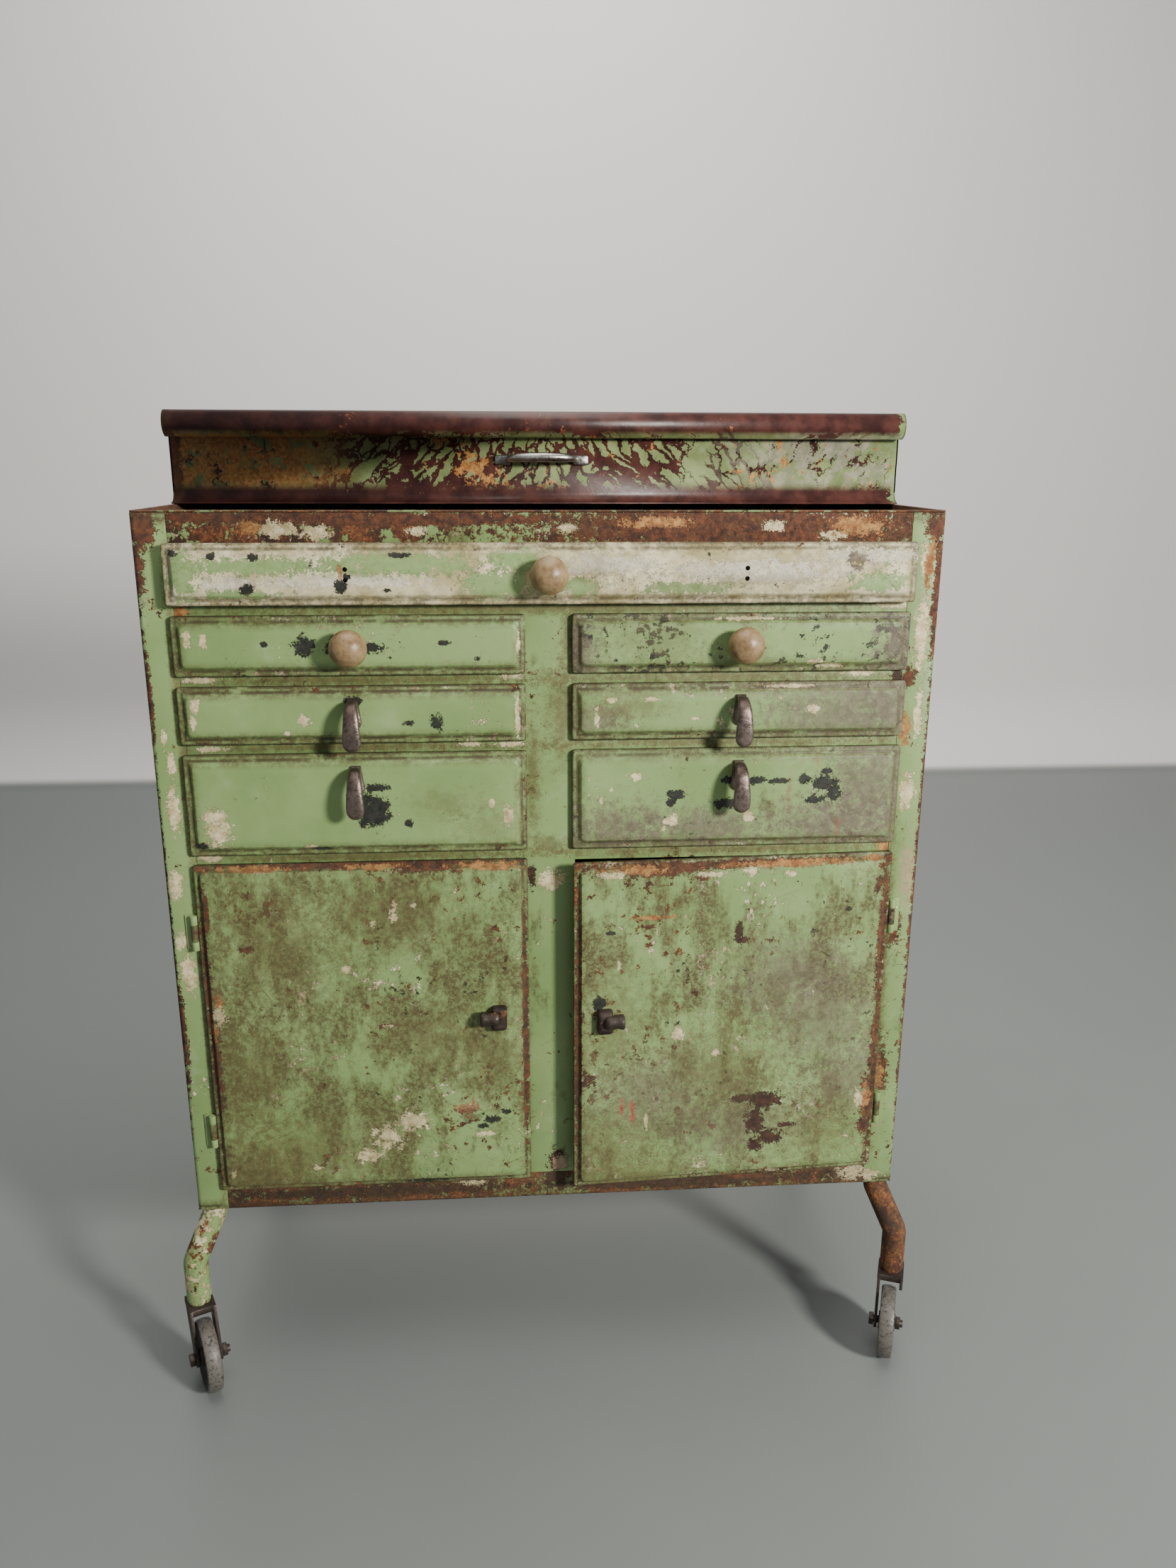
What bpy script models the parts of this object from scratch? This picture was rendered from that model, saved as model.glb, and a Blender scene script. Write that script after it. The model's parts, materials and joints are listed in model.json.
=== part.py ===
"""Sheet steel instrument cabinet on casters.

A folded steel carcass with a recessed top tray and a lifting hood, one wide
drawer, two columns of three drawers, two cupboards, and four bent bar legs
that end in swivel casters.

Metres, +Z up, front towards -Y. The origin is on the floor, midway between
the casters.
"""

import math

import bmesh
import bpy
from mathutils import Matrix, Vector

# Overall size
CABINET_WIDTH = 0.750
CABINET_DEPTH = 0.400
BODY_HEIGHT = 0.724
BODY_FROM_FLOOR = 0.196

# Sheet metal
SHEET = 0.0015
DRAWER_SHEET = 0.0012
GAP = 0.0003
CORNER_RADIUS = 0.005
RETURN_DEPTH = 0.010
REAR_FLANGE = 0.015
BEND_STEPS = 3

# Face of the cabinet
SIDE_MARGIN = 0.029
TOP_MARGIN = 0.028
BOTTOM_MARGIN = 0.028
ROW_SPACING = 0.010
COLUMN_SPACING = 0.044
OVERLAY = 0.003
WIDE_DRAWER_HEIGHT = 0.056
DRAWER_HEIGHTS = (0.056, 0.055, 0.100)

# Pressed drawer fronts and doors
FRONT_EDGE = 0.0055
FRONT_MARGIN = 0.005
FRONT_BEVEL = 0.005
DOOR_BEVEL = 0.003
FIELD_RISE = 0.004
PRESS_ROUNDING = 0.001
FRONT_CORNER = 0.003
FIELD_CORNER = 0.005

# Drawers
DRAWER_SIDE_PLAY = 0.0015
DRAWER_BACK_PLAY = 0.010
WIDE_DRAWER_AJAR = 0.007
LEDGE_WIDTH = 0.014
LEDGE_SETBACK = 0.001
POST_SETBACK = 0.050

# Top tray
TRAY_DEPTH = 0.020
FRONT_RIM = 0.012
SIDE_RIM = 0.006
REAR_RIM = 0.008

# Hood over the back of the tray
LID_SETBACK = 0.150
LID_HEIGHT = 0.0895
LID_SIDE_INSET = 0.0015
LID_CLEARANCE = 0.0020
LID_NOSE_DIAMETER = 0.026
LID_NOSE_REACH = 0.022
LID_FLARE = 0.010
LID_HINGE_LENGTH = 0.600
LID_KNUCKLES = 9
LID_LEAF_HEIGHT = 0.018

# Bow handle on the hood
HANDLE_HEIGHT = 0.044
HANDLE_SPACING = 0.080
HANDLE_FOOT = (0.016, 0.0025, 0.010)
HANDLE_REACH = 0.024
HANDLE_RADIUS = 0.0048
HANDLE_LAP = 0.002
HANDLE_SINK = 0.001
HANDLE_LIFT = 0.003
HANDLE_SQUARENESS = 0.6
HANDLE_TAPER = 0.65

# Doors
DOOR_AJAR = math.radians(3.0)
HINGE_INSET = 0.070
HINGE_BARREL = 0.007
HINGE_PIN = 0.0034
HINGE_LENGTH = 0.036
HINGE_LEAF = 0.0055
HINGE_STANDOFF = 0.001
HINGE_TAB_LAP = 0.0005
LATCH_INSET = 0.031
LATCH_ABOVE_MIDDLE = 0.013
LATCH_BLOCK = (0.016, 0.010, 0.026)
LATCH_NUB_DIAMETER = 0.0155
LATCH_NUB_REACH = 0.019
LATCH_SPINDLE = 0.008
LATCH_ROUNDING = 0.0015
LATCH_NUB_SINK = 0.001
LATCH_NUB_RAISE = 0.002
LATCH_TONGUE = (0.012, 0.002, 0.035)

# Knobs and finger pulls
KNOB_DIAMETER = 0.035
KNOB_REACH = 0.030
KNOB_SHOULDER = 0.52
# Shares of the knob's radius and of its reach, from under the crown to the foot
KNOB_UNDERSIDE = (
    (0.97, 0.44),
    (0.80, 0.36),
    (0.36, 0.28),
    (0.36, 0.14),
    (0.50, 0.08),
    (0.50, 0.0),
    (0.0, 0.0),
)
PULL_WIDTH = 0.017
PULL_LENGTH = 0.047
PULL_REACH = 0.026
PULL_PAD = (0.015, 0.003, 0.030)
PULL_NECK = 0.62
PULL_THICKNESS = 0.006
PULL_BELOW_BEVEL = 0.001
# Shares of the pull's reach and of its length, then of its width
PULL_ROUTE = (
    (0.035, 0.096, 0.80),
    (0.230, 0.064, 0.86),
    (0.420, 0.096, 0.92),
    (0.615, 0.255, 0.96),
    (0.770, 0.468, 1.00),
    (0.846, 0.723, 1.05),
    (0.865, 0.872, 1.02),
    (0.865, 0.968, 0.80),
    (0.865, 1.000, 0.45),
)
SCREW_HOLE = 0.0045
SCREW_PITCH = 0.0095

# Legs
LEG_DIAMETER = 0.0254
LEG_INSET = 0.0145
LEG_SPLAY = 0.0205
LEG_KNEE_HEIGHT = 0.1405
LEG_STRAIGHT = 0.007
LEG_BEND_RADIUS = 0.016
TENON_DIAMETER = 0.013
TENON_LENGTH = 0.010

# Casters
WHEEL_DIAMETER = 0.076
WHEEL_WIDTH = 0.016
WHEEL_BELOW_CROWN = 0.0075
WHEEL_HUB = 0.018
HUB_RADIUS = 0.0095
HUB_SHOULDER = 0.001
# Shares of the wheel's radius and of half its width, from the dished web to the tread
WHEEL_TREAD = ((0.80, 0.55), (0.84, 1.0), (0.95, 1.0), (0.99, 0.65), (1.0, 0.0))
CASTER_TRAIL = 0.024
FORK_PLAY = 0.003
FORK_ARM = 0.0035
CROWN_THICKNESS = 0.008
CROWN_FRONT = 0.017
CROWN_BACK = 0.013
FORK_EYE = 0.018
FORK_ROUNDING = 0.002
BROKEN_ARM_STUB = 0.006
BREAK_TILT = 0.5
STEM_DIAMETER = 0.010
STEM_LENGTH = 0.028
AXLE_DIAMETER = 0.008
AXLE_HEAD = 0.014
AXLE_HEAD_LENGTH = 0.005
AXLE_TIP = 0.003
FRONT_LEFT_SWIVEL = math.radians(25.0)
FRONT_RIGHT_SWIVEL = math.radians(-21.0)

ROUND_STEPS = 24
MERGE_DISTANCE = 0.00001
PIVOT_MARK = 0.02

# Worked out from the sizes above
HALF_WIDTH = CABINET_WIDTH / 2
FRONT = -CABINET_DEPTH / 2
BACK = CABINET_DEPTH / 2
FLOOR_OF_BODY = BODY_FROM_FLOOR
RIM = BODY_FROM_FLOOR + BODY_HEIGHT
COLUMN_OUT = HALF_WIDTH - SIDE_MARGIN
COLUMN_IN = COLUMN_SPACING / 2
OPENING_OUT = COLUMN_OUT - OVERLAY
OPENING_IN = COLUMN_IN + OVERLAY
INNER_SIDE = HALF_WIDTH - SHEET
BACK_PANEL_OUT = BACK - SHEET - GAP
INNER_BACK = BACK_PANEL_OUT - SHEET - GAP
BEHIND_FRAME = FRONT + RETURN_DEPTH + LEDGE_SETBACK
LID_FRONT = FRONT + LID_SETBACK
LID_HALF_WIDTH = HALF_WIDTH - LID_SIDE_INSET
FORK_HALF = WHEEL_HUB / 2 + FORK_PLAY / 2 + FORK_ARM
LEG_END_HEIGHT = WHEEL_DIAMETER + WHEEL_BELOW_CROWN + CROWN_THICKNESS
CROWN_TOP = LEG_END_HEIGHT - GAP
WHEEL_RADIUS = WHEEL_DIAMETER / 2
BARREL_RADIUS = HINGE_BARREL / 2
HINGE_X = COLUMN_OUT + BARREL_RADIUS + GAP
HINGE_Y = FRONT - BARREL_RADIUS - HINGE_STANDOFF
LID_HINGE_Y = BACK + BARREL_RADIUS + HINGE_STANDOFF
LID_HINGE_Z = RIM + BARREL_RADIUS


def row_spans():
    """Height ranges (low, high) of the wide drawer, the three rows and the door."""
    spans = []
    top = RIM - TOP_MARGIN
    for height in (WIDE_DRAWER_HEIGHT, *DRAWER_HEIGHTS):
        spans.append((top - height, top))
        top -= height + ROW_SPACING
    spans.append((FLOOR_OF_BODY + BOTTOM_MARGIN, top))
    return spans


# ---------------------------------------------------------------- scene


def clear_scene():
    for obj in list(bpy.data.objects):
        bpy.data.objects.remove(obj, do_unlink=True)


def new_collection(name):
    collection = bpy.data.collections.new(name)
    bpy.context.scene.collection.children.link(collection)
    return collection


def material(name, colour, roughness, metallic):
    made = bpy.data.materials.new(name)
    made.use_nodes = True
    shader = made.node_tree.nodes["Principled BSDF"]
    shader.inputs["Base Color"].default_value = (*colour, 1.0)
    shader.inputs["Roughness"].default_value = roughness
    shader.inputs["Metallic"].default_value = metallic
    made.diffuse_color = (*colour, 1.0)
    return made


clear_scene()
PARTS = new_collection("instrument_cabinet")
CUTTERS = new_collection("cutters")

FINISHES = {
    "enamel": ((0.29, 0.40, 0.19), 0.55, 0.0),
    "front_enamel": ((0.31, 0.42, 0.21), 0.50, 0.0),
    "hood_enamel": ((0.08, 0.03, 0.03), 0.60, 0.0),
    "inner_steel": ((0.22, 0.24, 0.18), 0.60, 0.4),
    "iron": ((0.05, 0.03, 0.03), 0.65, 0.6),
    "plated_steel": ((0.42, 0.41, 0.39), 0.35, 1.0),
    "turned_wood": ((0.42, 0.28, 0.16), 0.50, 0.0),
    "pull_metal": ((0.14, 0.10, 0.08), 0.45, 0.9),
    "leg_paint": ((0.27, 0.30, 0.15), 0.60, 0.0),
    "wheel_rubber": ((0.08, 0.08, 0.07), 0.80, 0.0),
}


# ---------------------------------------------------------------- meshes


def finish_object(name, mesh, finish):
    """Names the mesh as one part, and gives it a material of its own."""
    mesh.name = name
    obj = bpy.data.objects.new(name, mesh)
    PARTS.objects.link(obj)
    mesh.materials.clear()
    mesh.materials.append(material(name, *FINISHES[finish]))
    return obj


def mesh_from(shape):
    mesh = bpy.data.meshes.new("shape")
    shape.to_mesh(mesh)
    shape.free()
    return mesh


def smooth(obj, angle=35.0):
    obj.data.shade_smooth()
    obj.data.set_sharp_from_angle(angle=math.radians(angle))


def add_block(shape, low, high):
    """A box between two corners."""
    low, high = Vector(low), Vector(high)
    place = Matrix.Translation((low + high) / 2) @ Matrix.Diagonal((*(high - low), 1.0))
    bmesh.ops.create_cube(shape, size=1.0, matrix=place)


def add_rod(shape, start, end, radius, steps=ROUND_STEPS):
    """A cylinder between two points."""
    start, end = Vector(start), Vector(end)
    along = end - start
    turn = along.to_track_quat("Z", "Y").to_matrix().to_4x4()
    bmesh.ops.create_cone(
        shape,
        cap_ends=True,
        segments=steps,
        radius1=radius,
        radius2=radius,
        depth=along.length,
        matrix=Matrix.Translation((start + end) / 2) @ turn,
    )


def blocks(*corners):
    """A shape of several boxes, each a pair of corners."""
    shape = bmesh.new()
    for low, high in corners:
        add_block(shape, low, high)
    return shape


def combine(obj, shape, operation):
    """Joins a shape to an object, or cuts it away, with the shape kept as a guide."""
    guide = bpy.data.objects.new(f"{obj.name}_{operation.lower()}", mesh_from(shape))
    CUTTERS.objects.link(guide)
    guide.hide_render = True
    guide.display_type = "WIRE"
    guide.parent = obj
    modifier = obj.modifiers.new(operation.lower(), "BOOLEAN")
    modifier.operation = operation
    modifier.object = guide
    modifier.use_self = True


def join(obj, shape):
    combine(obj, shape, "UNION")


def cut(obj, shape):
    combine(obj, shape, "DIFFERENCE")


def block_part(name, finish, first, *others):
    """A part made of boxes that touch or overlap, joined into one body."""
    obj = finish_object(name, mesh_from(blocks(first)), finish)
    if others:
        join(obj, blocks(*others))
    return obj


def evaluated_mesh(obj):
    """The object's own shape as a plain welded mesh, with the object removed."""
    bpy.context.view_layer.update()
    graph = bpy.context.evaluated_depsgraph_get()
    mesh = bpy.data.meshes.new_from_object(obj.evaluated_get(graph))
    shape = bmesh.new()
    shape.from_mesh(mesh)
    bmesh.ops.remove_doubles(shape, verts=shape.verts, dist=1e-5)
    bmesh.ops.recalc_face_normals(shape, faces=shape.faces)
    shape.to_mesh(mesh)
    shape.free()
    bpy.data.objects.remove(obj)
    return mesh


def add_mesh(shape, mesh, place=Matrix.Identity(4)):
    """Adds a mesh, moved to its place, to a shape."""
    mesh.transform(place)
    shape.from_mesh(mesh)
    bpy.data.meshes.remove(mesh)


def tube_mesh(points, radius, scales=None, resolution=4):
    """A round bar along the points, with a radius factor at each."""
    curve = bpy.data.curves.new("bar", "CURVE")
    curve.dimensions = "3D"
    curve.bevel_depth = radius
    curve.bevel_resolution = resolution
    curve.use_fill_caps = True
    spline = curve.splines.new("POLY")
    spline.points.add(len(points) - 1)
    for index, point in enumerate(points):
        spline.points[index].co = (*point, 1.0)
        spline.points[index].radius = scales[index] if scales else 1.0
    obj = bpy.data.objects.new("bar", curve)
    PARTS.objects.link(obj)
    return evaluated_mesh(obj)


def plate_mesh(outline, thickness):
    """A flat plate of this outline, centred on the XY plane."""
    curve = bpy.data.curves.new("outline", "CURVE")
    curve.dimensions = "2D"
    curve.fill_mode = "BOTH"
    curve.extrude = thickness / 2
    spline = curve.splines.new("POLY")
    spline.points.add(len(outline) - 1)
    for index, (x, y) in enumerate(outline):
        spline.points[index].co = (x, y, 0.0, 1.0)
    spline.use_cyclic_u = True
    obj = bpy.data.objects.new("outline", curve)
    PARTS.objects.link(obj)
    return evaluated_mesh(obj)


def turned_mesh(profile, closed=False, steps=24):
    """A turned shape: (radius, height) points spun about Z."""
    mesh = bpy.data.meshes.new("profile")
    edges = [(i, i + 1) for i in range(len(profile) - 1)]
    if closed:
        edges.append((len(profile) - 1, 0))
    mesh.from_pydata([(r, 0.0, z) for r, z in profile], edges, [])
    obj = bpy.data.objects.new("profile", mesh)
    PARTS.objects.link(obj)
    spin = obj.modifiers.new("spin", "SCREW")
    spin.axis = "Z"
    spin.steps = steps
    spin.render_steps = steps
    spin.use_merge_vertices = True
    spin.merge_threshold = MERGE_DISTANCE
    return evaluated_mesh(obj)


def rounded_path(points, radius):
    """A bent line: the points with each inner corner replaced by an arc."""
    path = [Vector(points[0])]
    for before, corner, after in zip(points, points[1:], points[2:]):
        corner = Vector(corner)
        back = (Vector(before) - corner).normalized()
        ahead = (Vector(after) - corner).normalized()
        half = math.acos(max(-1.0, min(1.0, back.dot(ahead)))) / 2
        centre = corner + (back + ahead).normalized() * radius / math.sin(half)
        start = corner + back * radius / math.tan(half)
        finish = corner + ahead * radius / math.tan(half)
        for step in range(BEND_STEPS + 1):
            mixed = start.lerp(finish, step / BEND_STEPS) - centre
            path.append(centre + mixed.normalized() * radius)
    path.append(Vector(points[-1]))
    return path


def thicken(obj, sheet):
    """Gives an open surface its sheet thickness, inwards from its outer face."""
    shell = obj.modifiers.new("sheet", "SOLIDIFY")
    shell.thickness = sheet
    shell.offset = -1.0
    shell.use_even_offset = True


def bent_sheet(name, finish, path, to_space, start, end, sheet=SHEET):
    """A folded sheet: a bent line swept straight, with its outside on the line's right."""
    shape = bmesh.new()
    ends = [[shape.verts.new(to_space(u, v, w)) for u, v in path] for w in (start, end)]
    for near, far in zip(zip(ends[0], ends[0][1:]), zip(ends[1], ends[1][1:])):
        shape.faces.new((near[0], near[1], far[1], far[0]))
    obj = finish_object(name, mesh_from(shape), finish)
    thicken(obj, sheet)
    return obj


def plan(x, y, z):
    """Space point of a plan line's point, swept in height."""
    return (x, y, z)


def section(y, z, x):
    """Space point of a cross section's point, swept across the width."""
    return (x, y, z)


def pivot(name, location, parent=None):
    """An empty on a joint's axis."""
    empty = bpy.data.objects.new(name, None)
    empty.empty_display_size = PIVOT_MARK
    empty.location = location
    PARTS.objects.link(empty)
    if parent:
        hang(empty, parent)
    return empty


def hang(obj, parent):
    """Parents an object where it stands."""
    bpy.context.view_layer.update()
    obj.parent = parent
    obj.matrix_parent_inverse = parent.matrix_world.inverted()


# ---------------------------------------------------------------- carcass


def make_side_panel(name, side):
    """Side sheet with the front stile, its return and the rear flange folded in one."""
    path = [
        (-HALF_WIDTH + REAR_FLANGE, BACK),
        (-HALF_WIDTH, BACK),
        (-HALF_WIDTH, FRONT),
        (-OPENING_OUT, FRONT),
        (-OPENING_OUT, FRONT + RETURN_DEPTH),
    ]
    corners = rounded_path(path[:4], CORNER_RADIUS)
    line = [(point.x, point.y) for point in corners] + [path[4]]
    if side > 0:
        line = [(-x, y) for x, y in reversed(line)]
    low = FLOOR_OF_BODY + SHEET + 2 * GAP
    high = RIM - SHEET - GAP
    return bent_sheet(name, "enamel", line, plan, low, high)


def make_back_panel():
    across = HALF_WIDTH - CORNER_RADIUS - GAP
    return block_part(
        "back_panel",
        "enamel",
        (
            (-across, BACK_PANEL_OUT - SHEET, FLOOR_OF_BODY + SHEET + GAP),
            (across, BACK_PANEL_OUT, RIM - SHEET - GAP),
        ),
    )


def make_bottom_pan():
    """Floor of the body, folded up in front as the band below the doors."""
    band_top = FLOOR_OF_BODY + BOTTOM_MARGIN + OVERLAY
    corner = rounded_path(
        [(FRONT, band_top), (FRONT, FLOOR_OF_BODY), (BACK, FLOOR_OF_BODY)], CORNER_RADIUS
    )
    path = [(FRONT + RETURN_DEPTH, band_top)] + [(point.x, point.y) for point in corner]
    pan = bent_sheet("bottom_pan", "enamel", path, section, -HALF_WIDTH, HALF_WIDTH)
    above = FLOOR_OF_BODY + SHEET + GAP
    stile_edge = OPENING_OUT - GAP
    room_for_stiles = blocks(
        *(
            (
                (min(x, side * CABINET_WIDTH), FRONT - SHEET, above),
                (max(x, side * CABINET_WIDTH), FRONT + 2 * RETURN_DEPTH, band_top + SHEET),
            )
            for side in (-1, 1)
            for x in (side * stile_edge,)
        )
    )
    cut(pan, room_for_stiles)
    tenon_holes = bmesh.new()
    for x, y in leg_places():
        low = FLOOR_OF_BODY - SHEET
        hole = TENON_DIAMETER / 2 + GAP
        add_rod(tenon_holes, (x, y, low), (x, y, FLOOR_OF_BODY + 2 * SHEET), hole)
    cut(pan, tenon_holes)
    return pan


def rectangle(low, high, radius, steps=BEND_STEPS):
    """A rounded rectangle's points, counter-clockwise."""
    points = []
    inner = (low[0] + radius, low[1] + radius, high[0] - radius, high[1] - radius)
    centres = (
        (inner[2], inner[3]),
        (inner[0], inner[3]),
        (inner[0], inner[1]),
        (inner[2], inner[1]),
    )
    for quarter, (x, y) in enumerate(centres):
        for step in range(steps + 1):
            angle = math.pi / 2 * (quarter + step / steps)
            points.append((x + radius * math.cos(angle), y + radius * math.sin(angle)))
    return points


def bridged(shape, rings):
    """Quads between rings of equal length, and a face across the last."""
    made = [[shape.verts.new(point) for point in ring] for ring in rings]
    for outer, inner in zip(made, made[1:]):
        for index, vert in enumerate(outer):
            following = (index + 1) % len(outer)
            shape.faces.new((vert, outer[following], inner[following], inner[index]))
    shape.faces.new(made[-1])


def make_top_tray():
    """Recessed tray with a flat rim that caps the side panels and the front band."""
    low = (-HALF_WIDTH, FRONT)
    high = (HALF_WIDTH, BACK)
    inner_low = (-HALF_WIDTH + SIDE_RIM, FRONT + FRONT_RIM)
    inner_high = (HALF_WIDTH - SIDE_RIM, BACK - REAR_RIM)
    rings = []
    for corners, radius, z in (
        ((low, high), CORNER_RADIUS, RIM),
        ((inner_low, inner_high), CORNER_RADIUS, RIM),
        ((inner_low, inner_high), CORNER_RADIUS, RIM - TRAY_DEPTH),
    ):
        rings.append([(x, y, z) for x, y in rectangle(*corners, radius)])
    shape = bmesh.new()
    bridged(shape, rings)
    tray = finish_object("top_tray", mesh_from(shape), "enamel")
    thicken(tray, SHEET)
    return tray


def make_top_rail():
    """Front band between the tray rim and the wide drawer."""
    high = RIM - SHEET - GAP
    low = RIM - TOP_MARGIN - OVERLAY
    inner = FRONT + FRONT_RIM - SHEET - GAP
    path = [(inner, high), (FRONT, high), (FRONT, low), (FRONT + RETURN_DEPTH, low)]
    across = OPENING_OUT - GAP
    return bent_sheet("top_rail", "enamel", path, section, -across, across)


def make_front_frame(rows):
    """Rail below the wide drawer, centre stile and six short rails, in one pressing."""
    out = OPENING_OUT - GAP
    outline = [(out, rows[0][0] + OVERLAY), (out, rows[1][1] - OVERLAY)]
    for above, below in zip(rows[1:], rows[2:]):
        outline.append((OPENING_IN, above[1] - OVERLAY))
        outline.append((OPENING_IN, above[0] + OVERLAY))
        outline.append((out, above[0] + OVERLAY))
        outline.append((out, below[1] - OVERLAY))
    outline.append((OPENING_IN, rows[-1][1] - OVERLAY))
    outline.append((OPENING_IN, rows[-1][0] + OVERLAY + GAP))
    outline += [(-x, z) for x, z in reversed(outline)]
    shape = bmesh.new()
    face = shape.faces.new([shape.verts.new((x, FRONT, z)) for x, z in outline])
    grown = bmesh.ops.extrude_edge_only(shape, edges=face.edges)["geom"]
    edge_verts = [item for item in grown if isinstance(item, bmesh.types.BMVert)]
    bmesh.ops.translate(shape, verts=edge_verts, vec=(0.0, RETURN_DEPTH, 0.0))
    bmesh.ops.recalc_face_normals(shape, faces=shape.faces)
    face.normal_update()
    if face.normal.y > 0:
        bmesh.ops.reverse_faces(shape, faces=shape.faces)
    frame = finish_object("front_frame", mesh_from(shape), "enamel")
    thicken(frame, SHEET)
    return frame


def ledge_top(row):
    """Height of the ledge that carries a row's drawer."""
    return row[0] + OVERLAY + DRAWER_SIDE_PLAY - GAP


def make_centre_partition(rows):
    """Upright sheet behind the centre stile, with the inner ledges of both columns."""
    half = SHEET / 2
    upright = (
        (-half, BEHIND_FRAME, FLOOR_OF_BODY + SHEET + GAP),
        (half, INNER_BACK, rows[1][1] + OVERLAY),
    )
    reach = OPENING_IN + LEDGE_WIDTH
    ledges = [
        ((-reach, BEHIND_FRAME, ledge_top(row) - SHEET), (reach, INNER_BACK, ledge_top(row)))
        for row in rows[1:4]
    ]
    return block_part("centre_partition", "inner_steel", upright, *ledges)


def make_runner_rack(name, side, rows):
    """Outer runner plate with a ledge for each drawer, held off the side panel by fins."""
    low = ceiling_top(rows) + GAP
    high = RIM - TRAY_DEPTH - SHEET - GAP
    plate_in = OPENING_OUT
    plate_out = OPENING_OUT + SHEET

    def placed(x0, y0, z0, x1, y1, z1):
        across = sorted((side * x0, side * x1))
        return ((across[0], y0, z0), (across[1], y1, z1))

    upright = placed(plate_in, BEHIND_FRAME, low, plate_out, INNER_BACK, high)
    others = []
    for y in (FRONT + POST_SETBACK, BACK - POST_SETBACK):
        fin_out = INNER_SIDE - GAP
        others.append(placed(plate_out - GAP, y - SHEET / 2, low, fin_out, y + SHEET / 2, high))
    for row in rows[:4]:
        top = ledge_top(row)
        inner = OPENING_OUT - LEDGE_WIDTH
        others.append(
            placed(inner, BEHIND_FRAME, top - SHEET, plate_in + GAP, INNER_BACK, top)
        )
    return block_part(name, "inner_steel", upright, *others)


def ceiling_top(rows):
    """Top of the sheet between the lowest drawers and the cupboards."""
    return rows[4][1]


def make_cupboard_ceiling(name, side, rows):
    top = ceiling_top(rows)
    across = sorted((side * (SHEET / 2 + GAP), side * (INNER_SIDE - 2 * GAP)))
    return block_part(
        name,
        "inner_steel",
        ((across[0], BEHIND_FRAME, top - SHEET), (across[1], INNER_BACK, top)),
    )


# ---------------------------------------------------------------- drawers


def pressed_front(name, low, high, bevel, sheet):
    """Pressed pan: edge flange, flat margin, bevel and raised field, open at the back."""
    back = FRONT - GAP
    steps = (
        (0.0, 0.0, FRONT_CORNER),
        (0.0, FRONT_EDGE - PRESS_ROUNDING, FRONT_CORNER),
        (PRESS_ROUNDING, FRONT_EDGE, FRONT_CORNER),
        (FRONT_MARGIN, FRONT_EDGE, FIELD_CORNER),
        (FRONT_MARGIN + bevel, FRONT_EDGE + FIELD_RISE, FIELD_CORNER),
    )
    rings = []
    for inset, proud, radius in steps:
        corners = (low[0] + inset, low[1] + inset), (high[0] - inset, high[1] - inset)
        rings.append([(x, back - proud, z) for x, z in rectangle(*corners, radius)])
    shape = bmesh.new()
    bridged(shape, rings)
    bmesh.ops.reverse_faces(shape, faces=shape.faces)
    shape.faces.ensure_lookup_table()
    shape.normal_update()
    if shape.faces[-1].normal.y > 0:
        bmesh.ops.reverse_faces(shape, faces=shape.faces)
    front = finish_object(name, mesh_from(shape), "front_enamel")
    thicken(front, sheet)
    return front


def field_face():
    """Front plane of a pressed front's raised field."""
    return FRONT - GAP - FRONT_EDGE - FIELD_RISE


def make_drawer_box(name, x_low, x_high, row):
    """Open-topped folded box that runs in an opening of the face frame."""
    low = (
        x_low + DRAWER_SIDE_PLAY,
        FRONT - GAP - FRONT_EDGE + DRAWER_SHEET + GAP,
        row[0] + OVERLAY + DRAWER_SIDE_PLAY,
    )
    high = (
        x_high - DRAWER_SIDE_PLAY,
        INNER_BACK - DRAWER_BACK_PLAY,
        row[1] - OVERLAY - DRAWER_SIDE_PLAY,
    )
    shape = blocks((low, high))
    shape.normal_update()
    top = [face for face in shape.faces if face.normal.z > 0.5]
    bmesh.ops.delete(shape, geom=top, context="FACES_ONLY")
    box = finish_object(name, mesh_from(shape), "inner_steel")
    thicken(box, DRAWER_SHEET)
    return box


def facing_front(x, y, z):
    """Turns a shape made about +Z to point towards the front, and puts it in place."""
    return Matrix.Translation((x, y, z)) @ Matrix.Rotation(math.pi / 2, 4, "X")


def make_knob(name, x, z):
    """Turned mushroom knob on a short foot."""
    radius = KNOB_DIAMETER / 2
    shoulder = KNOB_SHOULDER * KNOB_REACH
    profile = [(0.0, KNOB_REACH)]
    for step in range(1, 6):
        angle = math.pi / 2 * step / 5
        rise = (KNOB_REACH - shoulder) * math.cos(angle)
        profile.append((radius * math.sin(angle), shoulder + rise))
    profile += [(radius * share, KNOB_REACH * height) for share, height in KNOB_UNDERSIDE]
    mesh = turned_mesh(profile)
    mesh.transform(facing_front(x, field_face() - GAP, z))
    knob = finish_object(name, mesh, "turned_wood")
    smooth(knob)
    return knob


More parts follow.
